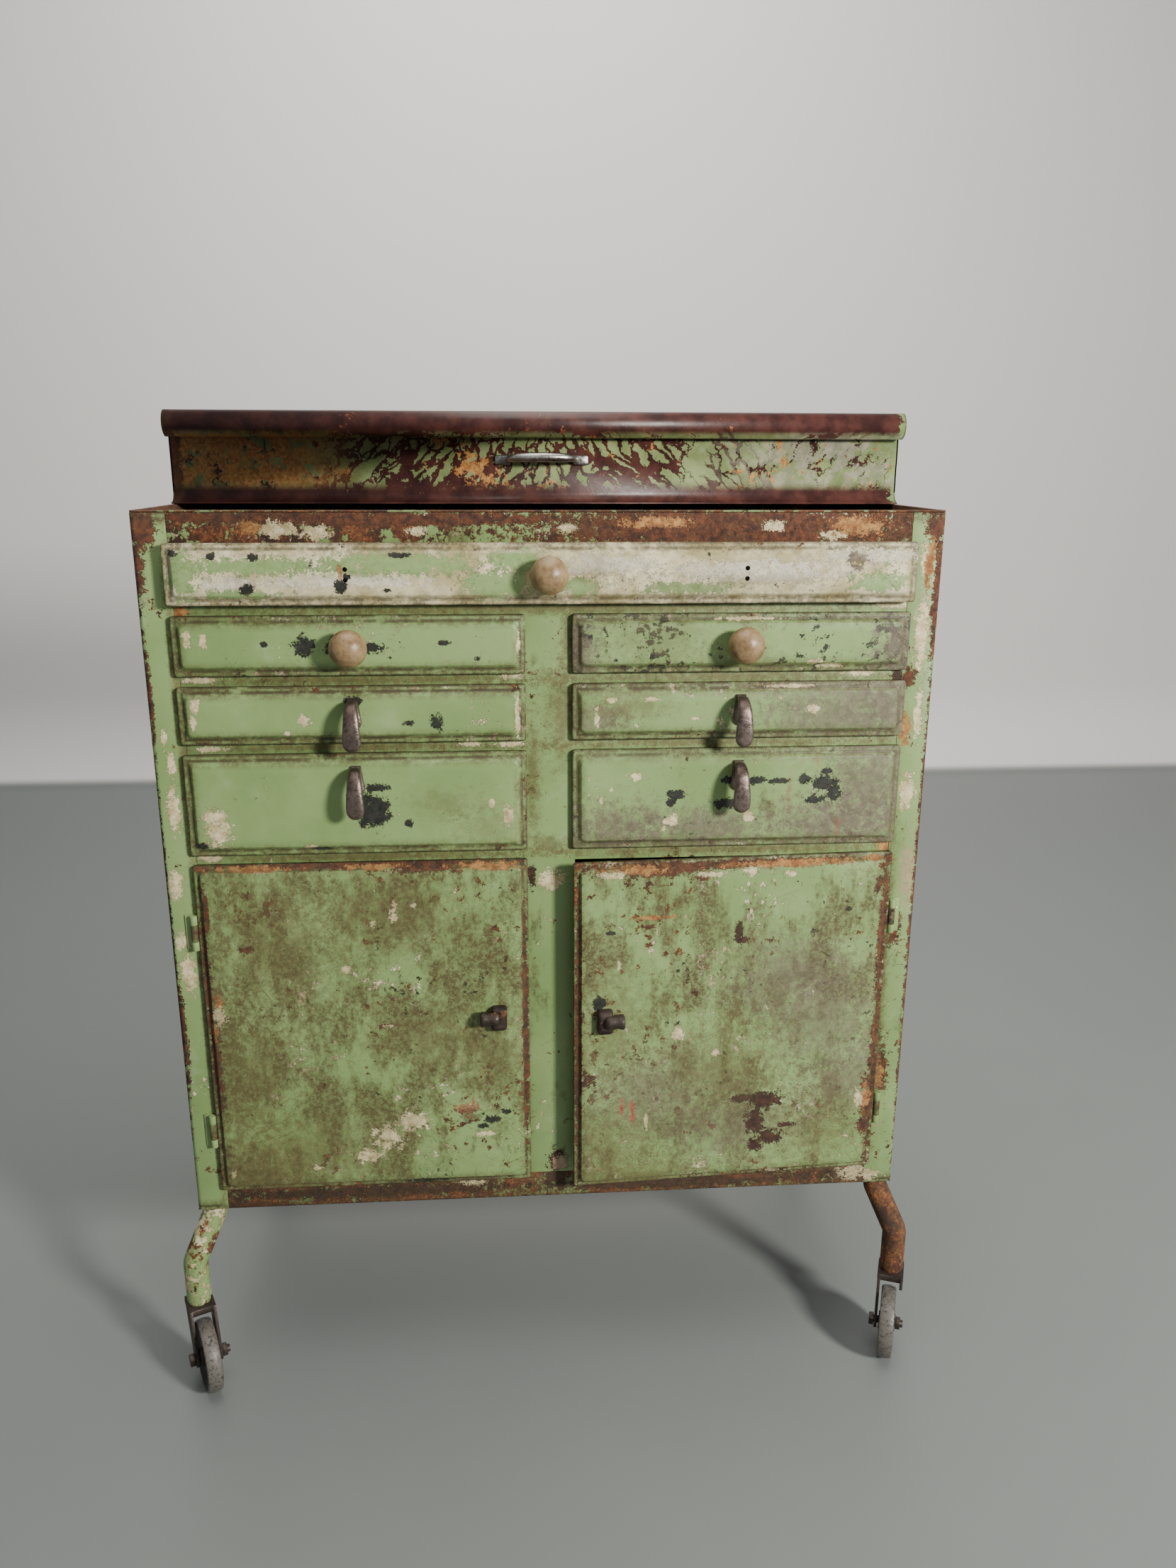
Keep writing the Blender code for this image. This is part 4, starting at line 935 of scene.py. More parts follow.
class Workshop:
    """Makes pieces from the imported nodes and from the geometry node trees."""

    def __init__(self, effects: Effects) -> None:
        """Builds the geometry node trees.

        Args:
            effects: the shared shader groups.
        """
        self.effects = effects
        self.sheet_tree = self._sheet_tree()
        self.bar_tree = self._bar_tree()
        self.screw_tree = self._screw_tree()
        self.materials: dict[str, Material] = {}

    def finish(self, finish: Finish) -> Material:
        """A finish's material, built once."""
        if finish.name not in self.materials:
            self.materials[finish.name] = finish.material(self.effects)
        return self.materials[finish.name]

    def _sheet_tree(self) -> Tree:
        """A folded sheet: a bent line drawn out along one direction."""
        w, given, taken = new_group(
            "Folded sheet", "GeometryNodeTree",
            "Section:shape Length:vector Finish:material", "Sheet:shape",
        )
        drawn = w.fed(
            "GeometryNodeExtrudeMesh", {"mode": "EDGES"}, Mesh=given["Section"],
            Offset=given["Length"], Offset_Scale=1.0
        )
        self._end_tree(w, drawn.outputs["Mesh"], given["Finish"], taken["Sheet"])
        return w.tree

    def _bar_tree(self) -> Tree:
        """A round bar that follows a line, thicker and thinner along it."""
        w, given, taken = new_group(
            "Round bar", "GeometryNodeTree",
            "Route:shape Radius Sides:whole Finish:material", "Bar:shape",
        )
        line = w.fed("GeometryNodeMeshToCurve", Mesh=given["Route"]).outputs[0]
        ring = w.fed(
            "GeometryNodeCurvePrimitiveCircle", {"mode": "RADIUS"}, Resolution=given["Sides"],
            Radius=given["Radius"]
        ).outputs["Curve"]
        share = w.fed("GeometryNodeInputNamedAttribute", {"data_type": "FLOAT"}, Name="thickness")
        bar = w.fed(
            "GeometryNodeCurveToMesh", Curve=line, Profile_Curve=ring,
            Scale=share.outputs["Attribute"], Fill_Caps=True
        )
        self._end_tree(w, bar.outputs[0], given["Finish"], taken["Bar"])
        return w.tree

    def _screw_tree(self) -> Tree:
        """Slotted round-head screws that face the front, each turned its own way."""
        w, given, taken = new_group(
            "Slotted screws", "GeometryNodeTree",
            "Places:shape Diameter Height Slot Seed:whole Finish:material", "Screws:shape",
        )
        dome = w.fed("GeometryNodeMeshUVSphere", Segments=24, Rings=12, Radius=0.5).outputs["Mesh"]
        wide, high = given["Diameter"], given["Height"]
        size = w.joined(wide, wide, w.times(high, 2.0))
        head = w.fed("GeometryNodeTransform", Geometry=dome, Scale=size)
        groove_size = w.joined(w.times(wide, 1.5), given["Slot"], high)
        block = w.fed("GeometryNodeMeshCube", Size=groove_size).outputs["Mesh"]
        groove = w.fed("GeometryNodeTransform", Geometry=block, Translation=w.joined(0.0, 0.0, high))
        cut = w.node("GeometryNodeMeshBoolean", operation="DIFFERENCE")
        w.feed(cut.inputs["Mesh 1"], head.outputs[0])
        w.feed(cut.inputs["Mesh 2"], groove.outputs[0])
        upright = (math.pi / 2, 0.0, 0.0)
        placed = w.fed(
            "GeometryNodeInstanceOnPoints", Points=given["Places"], Instance=cut.outputs[0],
            Rotation=upright
        )
        chance = w.fed("FunctionNodeRandomValue", {"data_type": "FLOAT"}, Seed=given["Seed"])
        chance.inputs[3].default_value = math.pi
        spin = w.joined(0.0, 0.0, chance.outputs[1])
        turned = w.fed("GeometryNodeRotateInstances", Instances=placed.outputs[0], Rotation=spin)
        self._end_tree(w, turned.outputs[0], given["Finish"], taken["Screws"])
        return w.tree

    @staticmethod
    def _end_tree(w: Wiring, shape: Socket, finish: Socket, out: Socket) -> None:
        """Realises a tree's instances and sets its material."""
        real = w.fed("GeometryNodeRealizeInstances", Geometry=shape).outputs[0]
        dressed = w.fed("GeometryNodeSetMaterial", Geometry=real, Material=finish)
        w.feed(out, dressed.outputs[0])

    def grow(
        self,
        name: str,
        tree: Tree,
        points: Sequence[Point],
        inputs: dict[str, object],
        thickness: Sequence[float] | None = None,
        joined: bool = True,
    ) -> Shape:
        """Runs a geometry node tree on a line or on loose points.

        Args:
            name: a name for the scratch object.
            tree: the tree.
            points: the line's points, or the places.
            inputs: the tree's inputs by name.
            thickness: a share of the radius at each point.
            joined: whether the points form a line.

        Returns:
            The result as a plain mesh.
        """
        mesh = bpy.data.meshes.new(name)
        edges = [(i, i + 1) for i in range(len(points) - 1)] if joined else []
        mesh.from_pydata([tuple(p) for p in points], edges, [])
        if thickness is not None:
            mesh.attributes.new("thickness", "FLOAT", "POINT").data.foreach_set("value", thickness)
        scratch = bpy.data.objects.new(name, mesh)
        bpy.context.scene.collection.objects.link(scratch)
        modifier = scratch.modifiers.new("tree", "NODES")
        modifier.node_group = tree
        for item in tree.interface.items_tree:
            if item.in_out == "INPUT" and item.name in inputs:
                modifier[item.identifier] = inputs[item.name]
        bpy.context.view_layer.update()
        graph = bpy.context.evaluated_depsgraph_get()
        result = bpy.data.meshes.new_from_object(scratch.evaluated_get(graph))
        shape = bmesh.new()
        shape.from_mesh(result)
        bpy.data.objects.remove(scratch)
        bpy.data.meshes.remove(result)
        bmesh.ops.remove_doubles(shape, verts=shape.verts, dist=1e-6)
        return shape

    def folded(
        self, name: str, points: Sequence[Point], length: Point, inside: Point, finish: Finish,
    ) -> Piece:
        """A bent sheet whose outer faces look away from a point inside it.

        Args:
            name: the piece's name.
            points: the section's line.
            length: how it is drawn out.
            inside: a point on the inner side.
            finish: its finish.

        Returns:
            The piece, with no thickness yet.
        """
        material = self.finish(finish)
        shape = self.grow(name, self.sheet_tree, points, {"Length": length, "Finish": material})
        bmesh.ops.recalc_face_normals(shape, faces=shape.faces)
        middle = Vector(inside)
        outward = 0.0
        for face in shape.faces:
            outward += face.normal.dot(face.calc_center_median() - middle) * face.calc_area()
        if outward < 0:
            bmesh.ops.reverse_faces(shape, faces=shape.faces)
        return finished(name, shape, material)

    def bar(
        self,
        name: str,
        points: Sequence[Point],
        radius: float,
        thickness: Sequence[float],
        finish: Aged,
        sides: int = 32,
    ) -> Shape:
        """A round bar along a line, as a shape that can be moved or joined.

        Args:
            name: a name for the scratch object.
            points: the line.
            radius: the bar's radius.
            thickness: a share of the radius at each point.
            finish: its finish.
            sides: how many sides it has.

        Returns:
            The shape, closed and facing outwards.
        """
        inputs = {"Radius": radius, "Sides": sides, "Finish": self.finish(finish)}
        shape = self.grow(name, self.bar_tree, points, inputs, thickness)
        tidy(shape)
        return shape

    def screws(
        self,
        name: str,
        body: str,
        places: Sequence[Point],
        diameter: float,
        height: float,
        seed: int,
        finish: Aged,
        turn: Matrix | None = None,
    ) -> Piece:
        """A set of slotted screws on one body.

        Args:
            name: the piece's name.
            body: the body they ride on.
            places: where their heads sit.
            diameter: the heads' diameter.
            height: the heads' height.
            seed: seed for their turns.
            finish: their finish.
            turn: moves them all, as on the ajar door.

        Returns:
            The piece.
        """
        material = self.finish(finish)
        inputs = {
            "Diameter": diameter,
            "Height": height,
            "Slot": diameter * 0.16,
            "Seed": seed,
            "Finish": material,
        }
        shape = self.grow(name, self.screw_tree, places, inputs, joined=False)
        if turn:
            shape.transform(turn)
        return self.mount(finished(name, shape, material), body, "plated_steel")

    def refined(
        self, node: str, finish: Finish, width: float, segments: int = 2, name: str = "",
    ) -> Piece:
        """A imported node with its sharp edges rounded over.

        Args:
            node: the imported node.
            finish: its finish.
            width: how wide the rounded edges are.
            segments: steps across them.
            name: the piece's name, when not made from the node's.

        Returns:
            The piece, which replaces the node.
        """
        source = frame["nodes"][node]
        shape = bmesh.new()
        shape.from_mesh(source.data)
        bmesh.ops.remove_doubles(shape, verts=shape.verts, dist=2e-6)
        bmesh.ops.dissolve_limit(
            shape, angle_limit=math.radians(1.0), verts=shape.verts, edges=shape.edges,
        )
        wear = shape.verts.layers.float.new("edge_wear")
        sharp = [
            edge
            for edge in shape.edges
            if edge.is_manifold and edge.calc_face_angle(0.0) > math.radians(38)
        ]
        made = bmesh.ops.bevel(
            shape,
            geom=sharp,
            offset=width,
            offset_type="OFFSET",
            segments=segments,
            profile=0.5,
            affect="EDGES",
            clamp_overlap=True,
        )
        for face in made["faces"]:
            for vert in face.verts:
                vert[wear] = 1.0
        piece = finished(name or f"{node}_shell", shape, self.finish(finish), 40.0)
        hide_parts(node)
        return self.mount(piece, source["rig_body"], "")

    def place(
        self, name: str, shape: Shape, finish: Finish, body: str, slot: str, node: str = "",
        angle: float = 32.0
    ) -> None:
        """Turns a shape into a piece and rides it on a body.

        Args:
            name: the piece's name.
            shape: its mesh, which is used up.
            finish: its finish.
            body: the body's name.
            slot: the record's slot.
            node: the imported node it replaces, or nothing.
            angle: the sharpest fold, in degrees, that is still shaded smooth.
        """
        piece = finished(name, shape, self.finish(finish), angle)
        if node:
            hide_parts(node)
        self.mount(piece, body, slot)

    @staticmethod
    def mount(piece: Piece, body: str, slot: str) -> Piece:
        """Rides a piece on a body.

        Args:
            piece: the piece.
            body: the body's name.
            slot: not used.

        Returns:
            The piece.
        """
        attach(piece, body)
        LOG.info("%s rides on %s", piece.name, body)
        return piece


# ------------------------------------------------------------------ finishes of this cabinet

IRON = Aged("dark_iron", (0.020, 0.013, 0.011), (0.060, 0.042, 0.036), (0.42, 0.68), 0.55, 0.22,
            rub=(0.060, 0.048, 0.040))
NICKEL = Aged("worn_nickel", (0.27, 0.26, 0.24), (0.62, 0.61, 0.58), (0.24, 0.42), 1.0, 0.03,
              scale=60.0, bump=0.0003)
PULL_METAL = Aged("pull_metal", (0.085, 0.062, 0.054), (0.17, 0.130, 0.112), (0.30, 0.44), 0.85, 0.0,
                  scale=60.0, rub=(0.30, 0.25, 0.22))
KNOB_TAN = Aged("knob_tan", (0.185, 0.118, 0.056), (0.330, 0.230, 0.118), (0.26, 0.44), 0.0, 0.0,
                scale=110.0, bump=0.0004)
INNER = Aged("inner_steel", (0.10, 0.11, 0.075), (0.20, 0.22, 0.16), (0.45, 0.7), 0.3, 0.16)
RUBBER = Aged("hard_rubber", (0.012, 0.012, 0.012), (0.055, 0.052, 0.048), (0.55, 0.8), 0.0, 0.0,
              scale=60.0, rub=(0.13, 0.12, 0.105))


def marks(wear: WearAndShade, *places: tuple[float, ...], **more: object) -> tuple[Spot, ...]:
    """Several patches of one kind of wear.

    Args:
        wear: the kind.
        places: x, z, half width and half height in millimetres.
        more: further values for every patch.

    Returns:
        The patches.
    """
    return tuple(Spot(wear, x / 1000, z / 1000, *size, **more) for x, z, *size in places)


# ------------------------------------------------------------------ pressed fronts


@dataclass
class PressedFront:
    """A pressed pan: edge flange, flat margin, bevel and raised field."""

    node: str
    body: str
    finish: Enamel
    bevel: float = 0.005
    push: float = 0.0
    edge: float = 0.0055
    margin: float = 0.005
    rise: float = 0.004
    corner: float = 0.003
    field_corner: float = 0.005
    rounding: float = 0.0012
    turn: Matrix | None = None
    holes: tuple[Flat, ...] = ()
    hole: float = 0.00225

    def steps(self) -> list[tuple[float, float, float]]:
        """Inset, height and corner radius of each ring, from the rim to the field."""
        rings = [(0.0, 0.0, self.corner)]
        for across, out in quarter(4):
            proud = self.edge - self.rounding * (1 - out)
            rings.append((self.rounding * (1 - across), proud, self.corner))
        top = self.edge + self.rise
        for index in range(9):
            share = index / 8
            eased = share * share * (3 - 2 * share)
            inset = self.margin + self.bevel * share
            rings.append((inset, self.edge + self.rise * eased, self.field_corner))
        crown = self.margin + self.bevel + 0.008
        rings.append((crown, top, self.field_corner))
        return rings

    def build(self, shop: Workshop) -> Piece:
        """Builds the front.

        Args:
            shop: makes the finish.

        Returns:
            The piece.
        """
        low, high = self.finish.low, self.finish.high
        back = FRONT - GAP - self.push
        rings = []
        for inset, proud, radius in self.steps():
            flat = rounded_rectangle(
                (low[0] + inset, low[1] + inset), (high[0] - inset, high[1] - inset), radius
            )
            rings.append([(x, back - proud, z) for x, z in flat])
        shape = bmesh.new()
        loft(shape, rings, caps=False)
        shape.verts.ensure_lookup_table()
        shape.faces.new(shape.verts[-len(rings[0]):])
        bmesh.ops.recalc_face_normals(shape, faces=shape.faces)
        shape.faces.ensure_lookup_table()
        if shape.faces[-1].normal.y > 0:
            bmesh.ops.reverse_faces(shape, faces=shape.faces)
        if self.turn:
            shape.transform(self.turn)
        piece = finished(f"{self.node}_panel", shape, shop.finish(self.finish))
        solidify(piece, THIN_SHEET)
        if self.holes:
            piece = self._drill(piece)
        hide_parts(self.node)
        return shop.mount(piece, self.body, "front_enamel")

    def _drill(self, piece: Piece) -> Piece:
        """Drills the old screw holes through the front."""
        cutter_shape = bmesh.new()
        for x, z in self.holes:
            rod = [(0.0, 0.004), (self.hole, 0.004), (self.hole, -0.02), (0.0, -0.02)]
            merge_into(cutter_shape, revolve(rod, facing(x, FACE_Y - self.push, z), 20))
        cutter = finished("cutter", cutter_shape, piece.data.materials[0])
        drill = piece.modifiers.new("holes", "BOOLEAN")
        drill.object = cutter
        drill.solver = "EXACT"
        return baked(piece, cutter)


def merge_into(target: Shape, source: Shape) -> None:
    """Adds one shape to another and frees the added one."""
    mesh = bpy.data.meshes.new("part")
    source.to_mesh(mesh)
    source.free()
    target.from_mesh(mesh)
    bpy.data.meshes.remove(mesh)


def baked(piece: Piece, *helpers: Piece) -> Piece:
    """Applies a piece's modifiers to its mesh, and removes their helpers."""
    bpy.context.view_layer.update()
    graph = bpy.context.evaluated_depsgraph_get()
    mesh = bpy.data.meshes.new_from_object(piece.evaluated_get(graph))
    piece.modifiers.clear()
    piece.data = mesh
    mesh.shade_smooth()
    mesh.set_sharp_from_angle(angle=math.radians(32))
    for helper in helpers:
        bpy.data.objects.remove(helper)
    return piece


def superellipse(
    centre: Vector, across: Vector, thick: Vector, power: float, sides: int = 20
) -> Ring:
    """A rounded-rectangle-like ring.

    Args:
        centre: its middle.
        across: half its width, as a vector.
        thick: half its thickness, as a vector.
        power: 2 for an ellipse, more for squarer.
        sides: how many points it has.

    Returns:
        The ring.
    """
    ring = []
    for step in range(sides):
        angle = 2 * math.pi * step / sides
        c, s = math.cos(angle), math.sin(angle)
        a = math.copysign(abs(c) ** (2 / power), c)
        b = math.copysign(abs(s) ** (2 / power), s)
        ring.append(tuple(centre + across * a + thick * b))
    return ring


def spread(stations: Sequence[Sequence[float]], per: int = 6) -> np.ndarray:
    """Stations joined by a smooth curve through them.

    Args:
        stations: rows of numbers.
        per: new rows for each gap.

    Returns:
        The finer rows.
    """
    rows = np.array(stations, float)
    padded = np.vstack([2 * rows[0] - rows[1], rows, 2 * rows[-1] - rows[-2]])
    fine = []
    for index in range(1, len(padded) - 2):
        p0, p1, p2, p3 = padded[index - 1 : index + 3]
        for step in range(per):
            t = step / per
            fine.append(
                0.5
                * (
                    2 * p1
                    + (p2 - p0) * t
                    + (2 * p0 - 5 * p1 + 4 * p2 - p3) * t**2
                    + (3 * p1 - p0 - 3 * p2 + p3) * t**3
                )
            )
    fine.append(rows[-1])
    return np.array(fine)


# ------------------------------------------------------------------ sub-assemblies


@dataclass
class Carcass:
    """The fixed body: sides, back, pan, tray, rails, partition and racks."""

    bend: float = 0.005
    stile: float = 0.032
    lip: float = 0.010
    rear_flange: float = 0.015
    edge: float = 0.0005

    def build(self, shop: Workshop, looks: "Looks") -> None:
        """Builds and dresses every fixed sheet.

        Args:
            shop: makes the pieces.
            looks: the finishes.
        """
        for side, finish in ((-1, looks.left_side), (1, looks.right_side)):
            self._side(shop, side, finish)
        for node, finish in (
            ("back_panel", looks.back),
            ("bottom_pan", looks.bottom),
            ("top_tray", looks.tray),
            ("top_rail", looks.top_band),
            ("front_frame", looks.frame),
            ("centre_partition", looks.inside),
            ("cupboard_ceiling_left", looks.inside),
            ("cupboard_ceiling_right", looks.inside),
            ("runner_rack_left", looks.inside),
            ("runner_rack_right", looks.inside),
        ):
            shop.refined(node, finish, self.edge)

    def _side(self, shop: Workshop, side: int, finish: Enamel) -> None:
        """One side sheet with the stile and the rear flange folded in one."""
        low = BODY_LOW + SHEET + 2 * GAP
        high = RIM - SHEET - GAP
        stile = HALF_WIDTH - self.stile
        line = fold(
            [
                (-HALF_WIDTH + self.rear_flange, BACK),
                (-HALF_WIDTH, BACK),
                (-HALF_WIDTH, FRONT),
                (-stile, FRONT),
            ],
            self.bend,
        )
        line.append((-stile, FRONT + self.lip))
        name = side_name(side)
        points = [(-side * x, y, low) for x, y in line]
        piece = shop.folded(
            f"side_sheet_{name}", points, (0.0, 0.0, high - low), (0.0, 0.0, 0.55), finish
        )
        solidify(piece, SHEET, 0.0003)
        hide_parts(f"side_panel_{name}")
        shop.mount(piece, "carcass", "enamel")


KNOB_FOOT = (
    (0.995, 0.475), (0.965, 0.435), (0.90, 0.395), (0.80, 0.365), (0.66, 0.335), (0.50, 0.305),
    (0.40, 0.27), (0.36, 0.22), (0.36, 0.15), (0.40, 0.11), (0.47, 0.08), (0.50, 0.06), (0.50, 0.0),
    (0.0, 0.0),
)


@dataclass
class Knob:
    """A turned mushroom knob on a short foot."""

    node: str
    body: str
    x: float
    z: float
    face: float
    radius: float = 0.0175
    reach: float = 0.030
    shoulder: float = 0.52

    def build(self, shop: Workshop, finish: Aged) -> None:
        """Turns the knob and puts it on its drawer."""
        profile = [(0.0, self.reach)]
        for across, out in quarter(14)[1:]:
            height = self.shoulder + (1 - self.shoulder) * across**1.15
            profile.append((self.radius * out, self.reach * height))
        profile += [(self.radius * share, self.reach * height) for share, height in KNOB_FOOT]
        shape = revolve(profile, facing(self.x, self.face, self.z))
        shop.place(f"{self.node}_turned", shape, finish, self.body, "turned_wood", self.node, 50.0)


@dataclass
class FingerPull:
    """A cast pull: a pad held by the drawer and a tongue that curls down in front."""

    node: str
    body: str
    x: float
    top: float
    width: float = 0.017
    length: float = 0.047
    reach: float = 0.026
    pad_width: float = 0.015
    pad_depth: float = 0.003
    pad_height: float = 0.030

    def build(self, shop: Workshop, finish: Aged) -> None:
        """Casts the pull and puts it on its drawer."""
        shape = bmesh.new()
        face = FACE_Y - GAP
        self._pad(shape, face)
        half = self.width / 2
        tip = -self.length
        stations = (
            (0.0012, -0.0050, 0.58 * half, 0.0030),
            (self.pad_depth + 0.004, -0.0034, 0.62 * half, 0.0032),
            (self.pad_depth + 0.010, -0.0050, 0.68 * half, 0.0034),
            (self.reach - 0.0075, -0.0110, 0.80 * half, 0.0034),
            (self.reach - 0.0045, -0.0200, 0.88 * half, 0.0031),
            (self.reach - 0.0036, -0.0290, 0.96 * half, 0.0029),
            (self.reach - 0.0040, -0.0370, 1.00 * half, 0.0028),
            (self.reach - 0.0042, tip + 0.0055, 0.92 * half, 0.0026),
            (self.reach - 0.0042, tip + 0.0022, 0.66 * half, 0.0022),
            (self.reach - 0.0042, tip + 0.0004, 0.28 * half, 0.0013),
        )
        rows = spread(stations, 5)
        rings = []
        for index, (out, down, wide, thick) in enumerate(rows):
            before, after = rows[max(index - 1, 0)], rows[min(index + 1, len(rows) - 1)]
            along = Vector((0.0, before[0] - after[0], after[1] - before[1])).normalized()
            normal = along.cross(Vector((1.0, 0.0, 0.0)))
            centre = Vector((self.x, face - out, self.top + down))
            rings.append(superellipse(centre, Vector((wide, 0.0, 0.0)), normal * thick, 2.5, 24))
        loft(shape, rings)
        tidy(shape)
        wear = shape.verts.layers.float.new("edge_wear")
        for vert in shape.verts:
            off = abs(vert.co.x - self.x) / half
            out = (face - vert.co.y) / self.reach
            vert[wear] = max(0.0, min(1.0, 2.2 * (off - 0.55))) * 0.8 + (0.35 if out > 0.93 else 0.0)
        shop.place(f"{self.node}_cast", shape, finish, self.body, "pull_metal", self.node, 45.0)

    def _pad(self, shape: Shape, face: float) -> None:
        """The pad, a plate with a round lower end and softened edges."""
        half = self.pad_width / 2
        outline = [(-0.62 * half, 0.0)]
        for step in range(25):
            angle = math.pi * (1.0 + step / 24)
            outline.append((half * math.cos(angle), half - self.pad_height + half * math.sin(angle)))
        outline.append((0.62 * half, 0.0))
        middle = Vector((0.0, -self.pad_height / 2))
        rings = []
        for share, out in ((1.0, 0.0), (1.0, 0.55), (0.97, 0.82), (0.90, 1.0)):
            ring = []
            for x, z in outline:
                point = middle + (Vector((x, z)) - middle) * share
                ring.append((self.x + point.x, face - self.pad_depth * out, self.top + point.y))
            rings.append(ring)
        loft(shape, rings)


def cushion(shape: Shape, middle: Point, size: Point, corner: float, edge: Sequence[Flat]) -> None:
    """Adds a block with round corners and softened front edges.

    Args:
        shape: the mesh it goes in.
        middle: the middle of its back.
        size: its width, depth and height.
        corner: the corners' radius.
        edge: how far each ring is set in, and its share of the depth.
    """
    x, back, z = middle
    rings = []
    for inset, out in edge:
        wide, tall = size[0] / 2 - inset, size[2] / 2 - inset
        flat = rounded_rectangle((x - wide, z - tall), (x + wide, z + tall), corner, 4)
        rings.append([(a, back - size[1] * out, b) for a, b in flat])
    loft(shape, rings)


@dataclass
class BowHandle:
    """The hood's nickel bow handle on two screwed feet."""

    height: float = 0.964
    face: float = -0.0503
    spacing: float = 0.080
    foot: Point = (0.016, 0.0025, 0.010)
    foot_edge: tuple[Flat, ...] = ((0.0, 0.0), (0.0, 0.6), (0.0004, 0.88), (0.0011, 1.0))
    reach: float = 0.024
    radius: float = 0.0048

    def build(self, shop: Workshop, finish: Aged, screw_finish: Aged) -> None:
        """Builds the bow, its feet and their screws."""
        shape = bmesh.new()
        for side in (-1, 1):
            middle = (side * self.spacing / 2, self.face, self.height)
            cushion(shape, middle, self.foot, 0.002, self.foot_edge)
        inside = self.spacing / 2 - self.foot[0] / 2 + 0.002
        steps = 40
        points, shares = [], []
        for step in range(steps + 1):
            angle = math.pi * step / steps
            reach = math.sin(angle) ** 0.6
            out = 0.001 + (self.reach - self.radius) * reach
            points.append((-inside * math.cos(angle), self.face - out, self.height + 0.003 * reach))
            shares.append(0.62 + 0.38 * math.sin(angle))
        merge_into(shape, shop.bar("bow", points, self.radius, shares, finish, 28))
        tidy(shape)
        shop.place("lid_handle_bow", shape, finish, "hood", "plated_steel", "lid_handle", 40.0)
        seat = self.face - self.foot[1] + 0.0002
        places = [(side * (self.spacing / 2 + 0.001), seat, self.height) for side in (-1, 1)]
        shop.screws("lid_handle_screws", "hood", places, 0.0056, 0.0014, 3, screw_finish)


BLOCK_EDGE = ((1.0, 0.0), (1.0, 0.35), (0.96, 0.62), (0.88, 0.84), (0.70, 0.96), (0.45, 1.0))
NUB_OUTLINE = (
    (-0.10, 0.30), (-0.06, 0.60), (0.02, 0.82), (0.20, 0.90), (0.45, 0.86), (0.66, 0.90),
    (0.84, 1.0), (0.94, 0.98), (0.985, 0.88), (1.0, 0.66),
)


@dataclass
class Latch:
    """A cast turn catch: square block, round thumb nub, spindle and inner tongue."""

    side: int
    x: float = 0.053
    z: float = 0.4175
    block: Point = (0.016, 0.010, 0.026)
    nub: float = 0.00775
    nub_reach: float = 0.019
    spindle: float = 0.004
    tongue: Point = (0.012, 0.002, 0.035)
    turn: Matrix | None = None

    def build(self, shop: Workshop, finish: Aged) -> None:
        """Builds the catch on its door."""
        label = side_name(self.side)
        x = self.side * self.x
        face = FACE_Y - GAP
        shape = bmesh.new()
        width, depth, height = self.block
        rings = []
        for share, out in BLOCK_EDGE:
            flat = rounded_rectangle(
                (x - width / 2 * share, self.z - height / 2 * share),
                (x + width / 2 * share, self.z + height / 2 * share),
                0.0035 * share,
                5,
            )
            rings.append([(a, face - depth * out, b) for a, b in flat])
        loft(shape, rings)
        nub_rings = []
        for along, share in NUB_OUTLINE:
            reach = self.side * self.nub_reach * along
            centre = Vector((x + reach, face - depth + 0.001, self.z + 0.002))
            out = Vector((0.0, -self.nub * share, 0.0))
            nub_rings.append(superellipse(centre, out, Vector((0.0, 0.0, -out.y)), 2.0, 24))
        loft(shape, nub_rings)
        behind = FRONT + 0.010 + 2 * GAP
        for half, rise, ends in (
            (self.spindle, self.spindle, (face - GAP, behind + GAP)),
            (self.tongue[0] / 2, self.tongue[2], (behind, behind + self.tongue[1])),
        ):
            flat = rounded_rectangle((x - half, self.z - half), (x + half, self.z + rise), 0.0035, 5)
            loft(shape, [[(a, y, b) for a, b in flat] for y in ends])
        tidy(shape)
        wear = shape.verts.layers.float.new("edge_wear")
        for vert in shape.verts:
            vert[wear] = 0.6 if vert.co.y < face - depth else 0.0
        if self.turn:
            shape.transform(self.turn)
        name, node = f"{label}_turn_catch", f"{label}_door_latch"
        shop.place(name, shape, finish, f"{label}_latch", "iron", node, 45.0)


def knuckle(barrel: float, low: float, high: float) -> list[Flat]:
    """The closed section of a rolled knuckle, with its outer edges broken."""
    inner, soft = barrel - THIN_SHEET, 0.0003
    return [
        (inner, low), (barrel - soft, low), (barrel, low + soft), (barrel, high - soft),
        (barrel - soft, high), (inner, high), (inner, low),
    ]


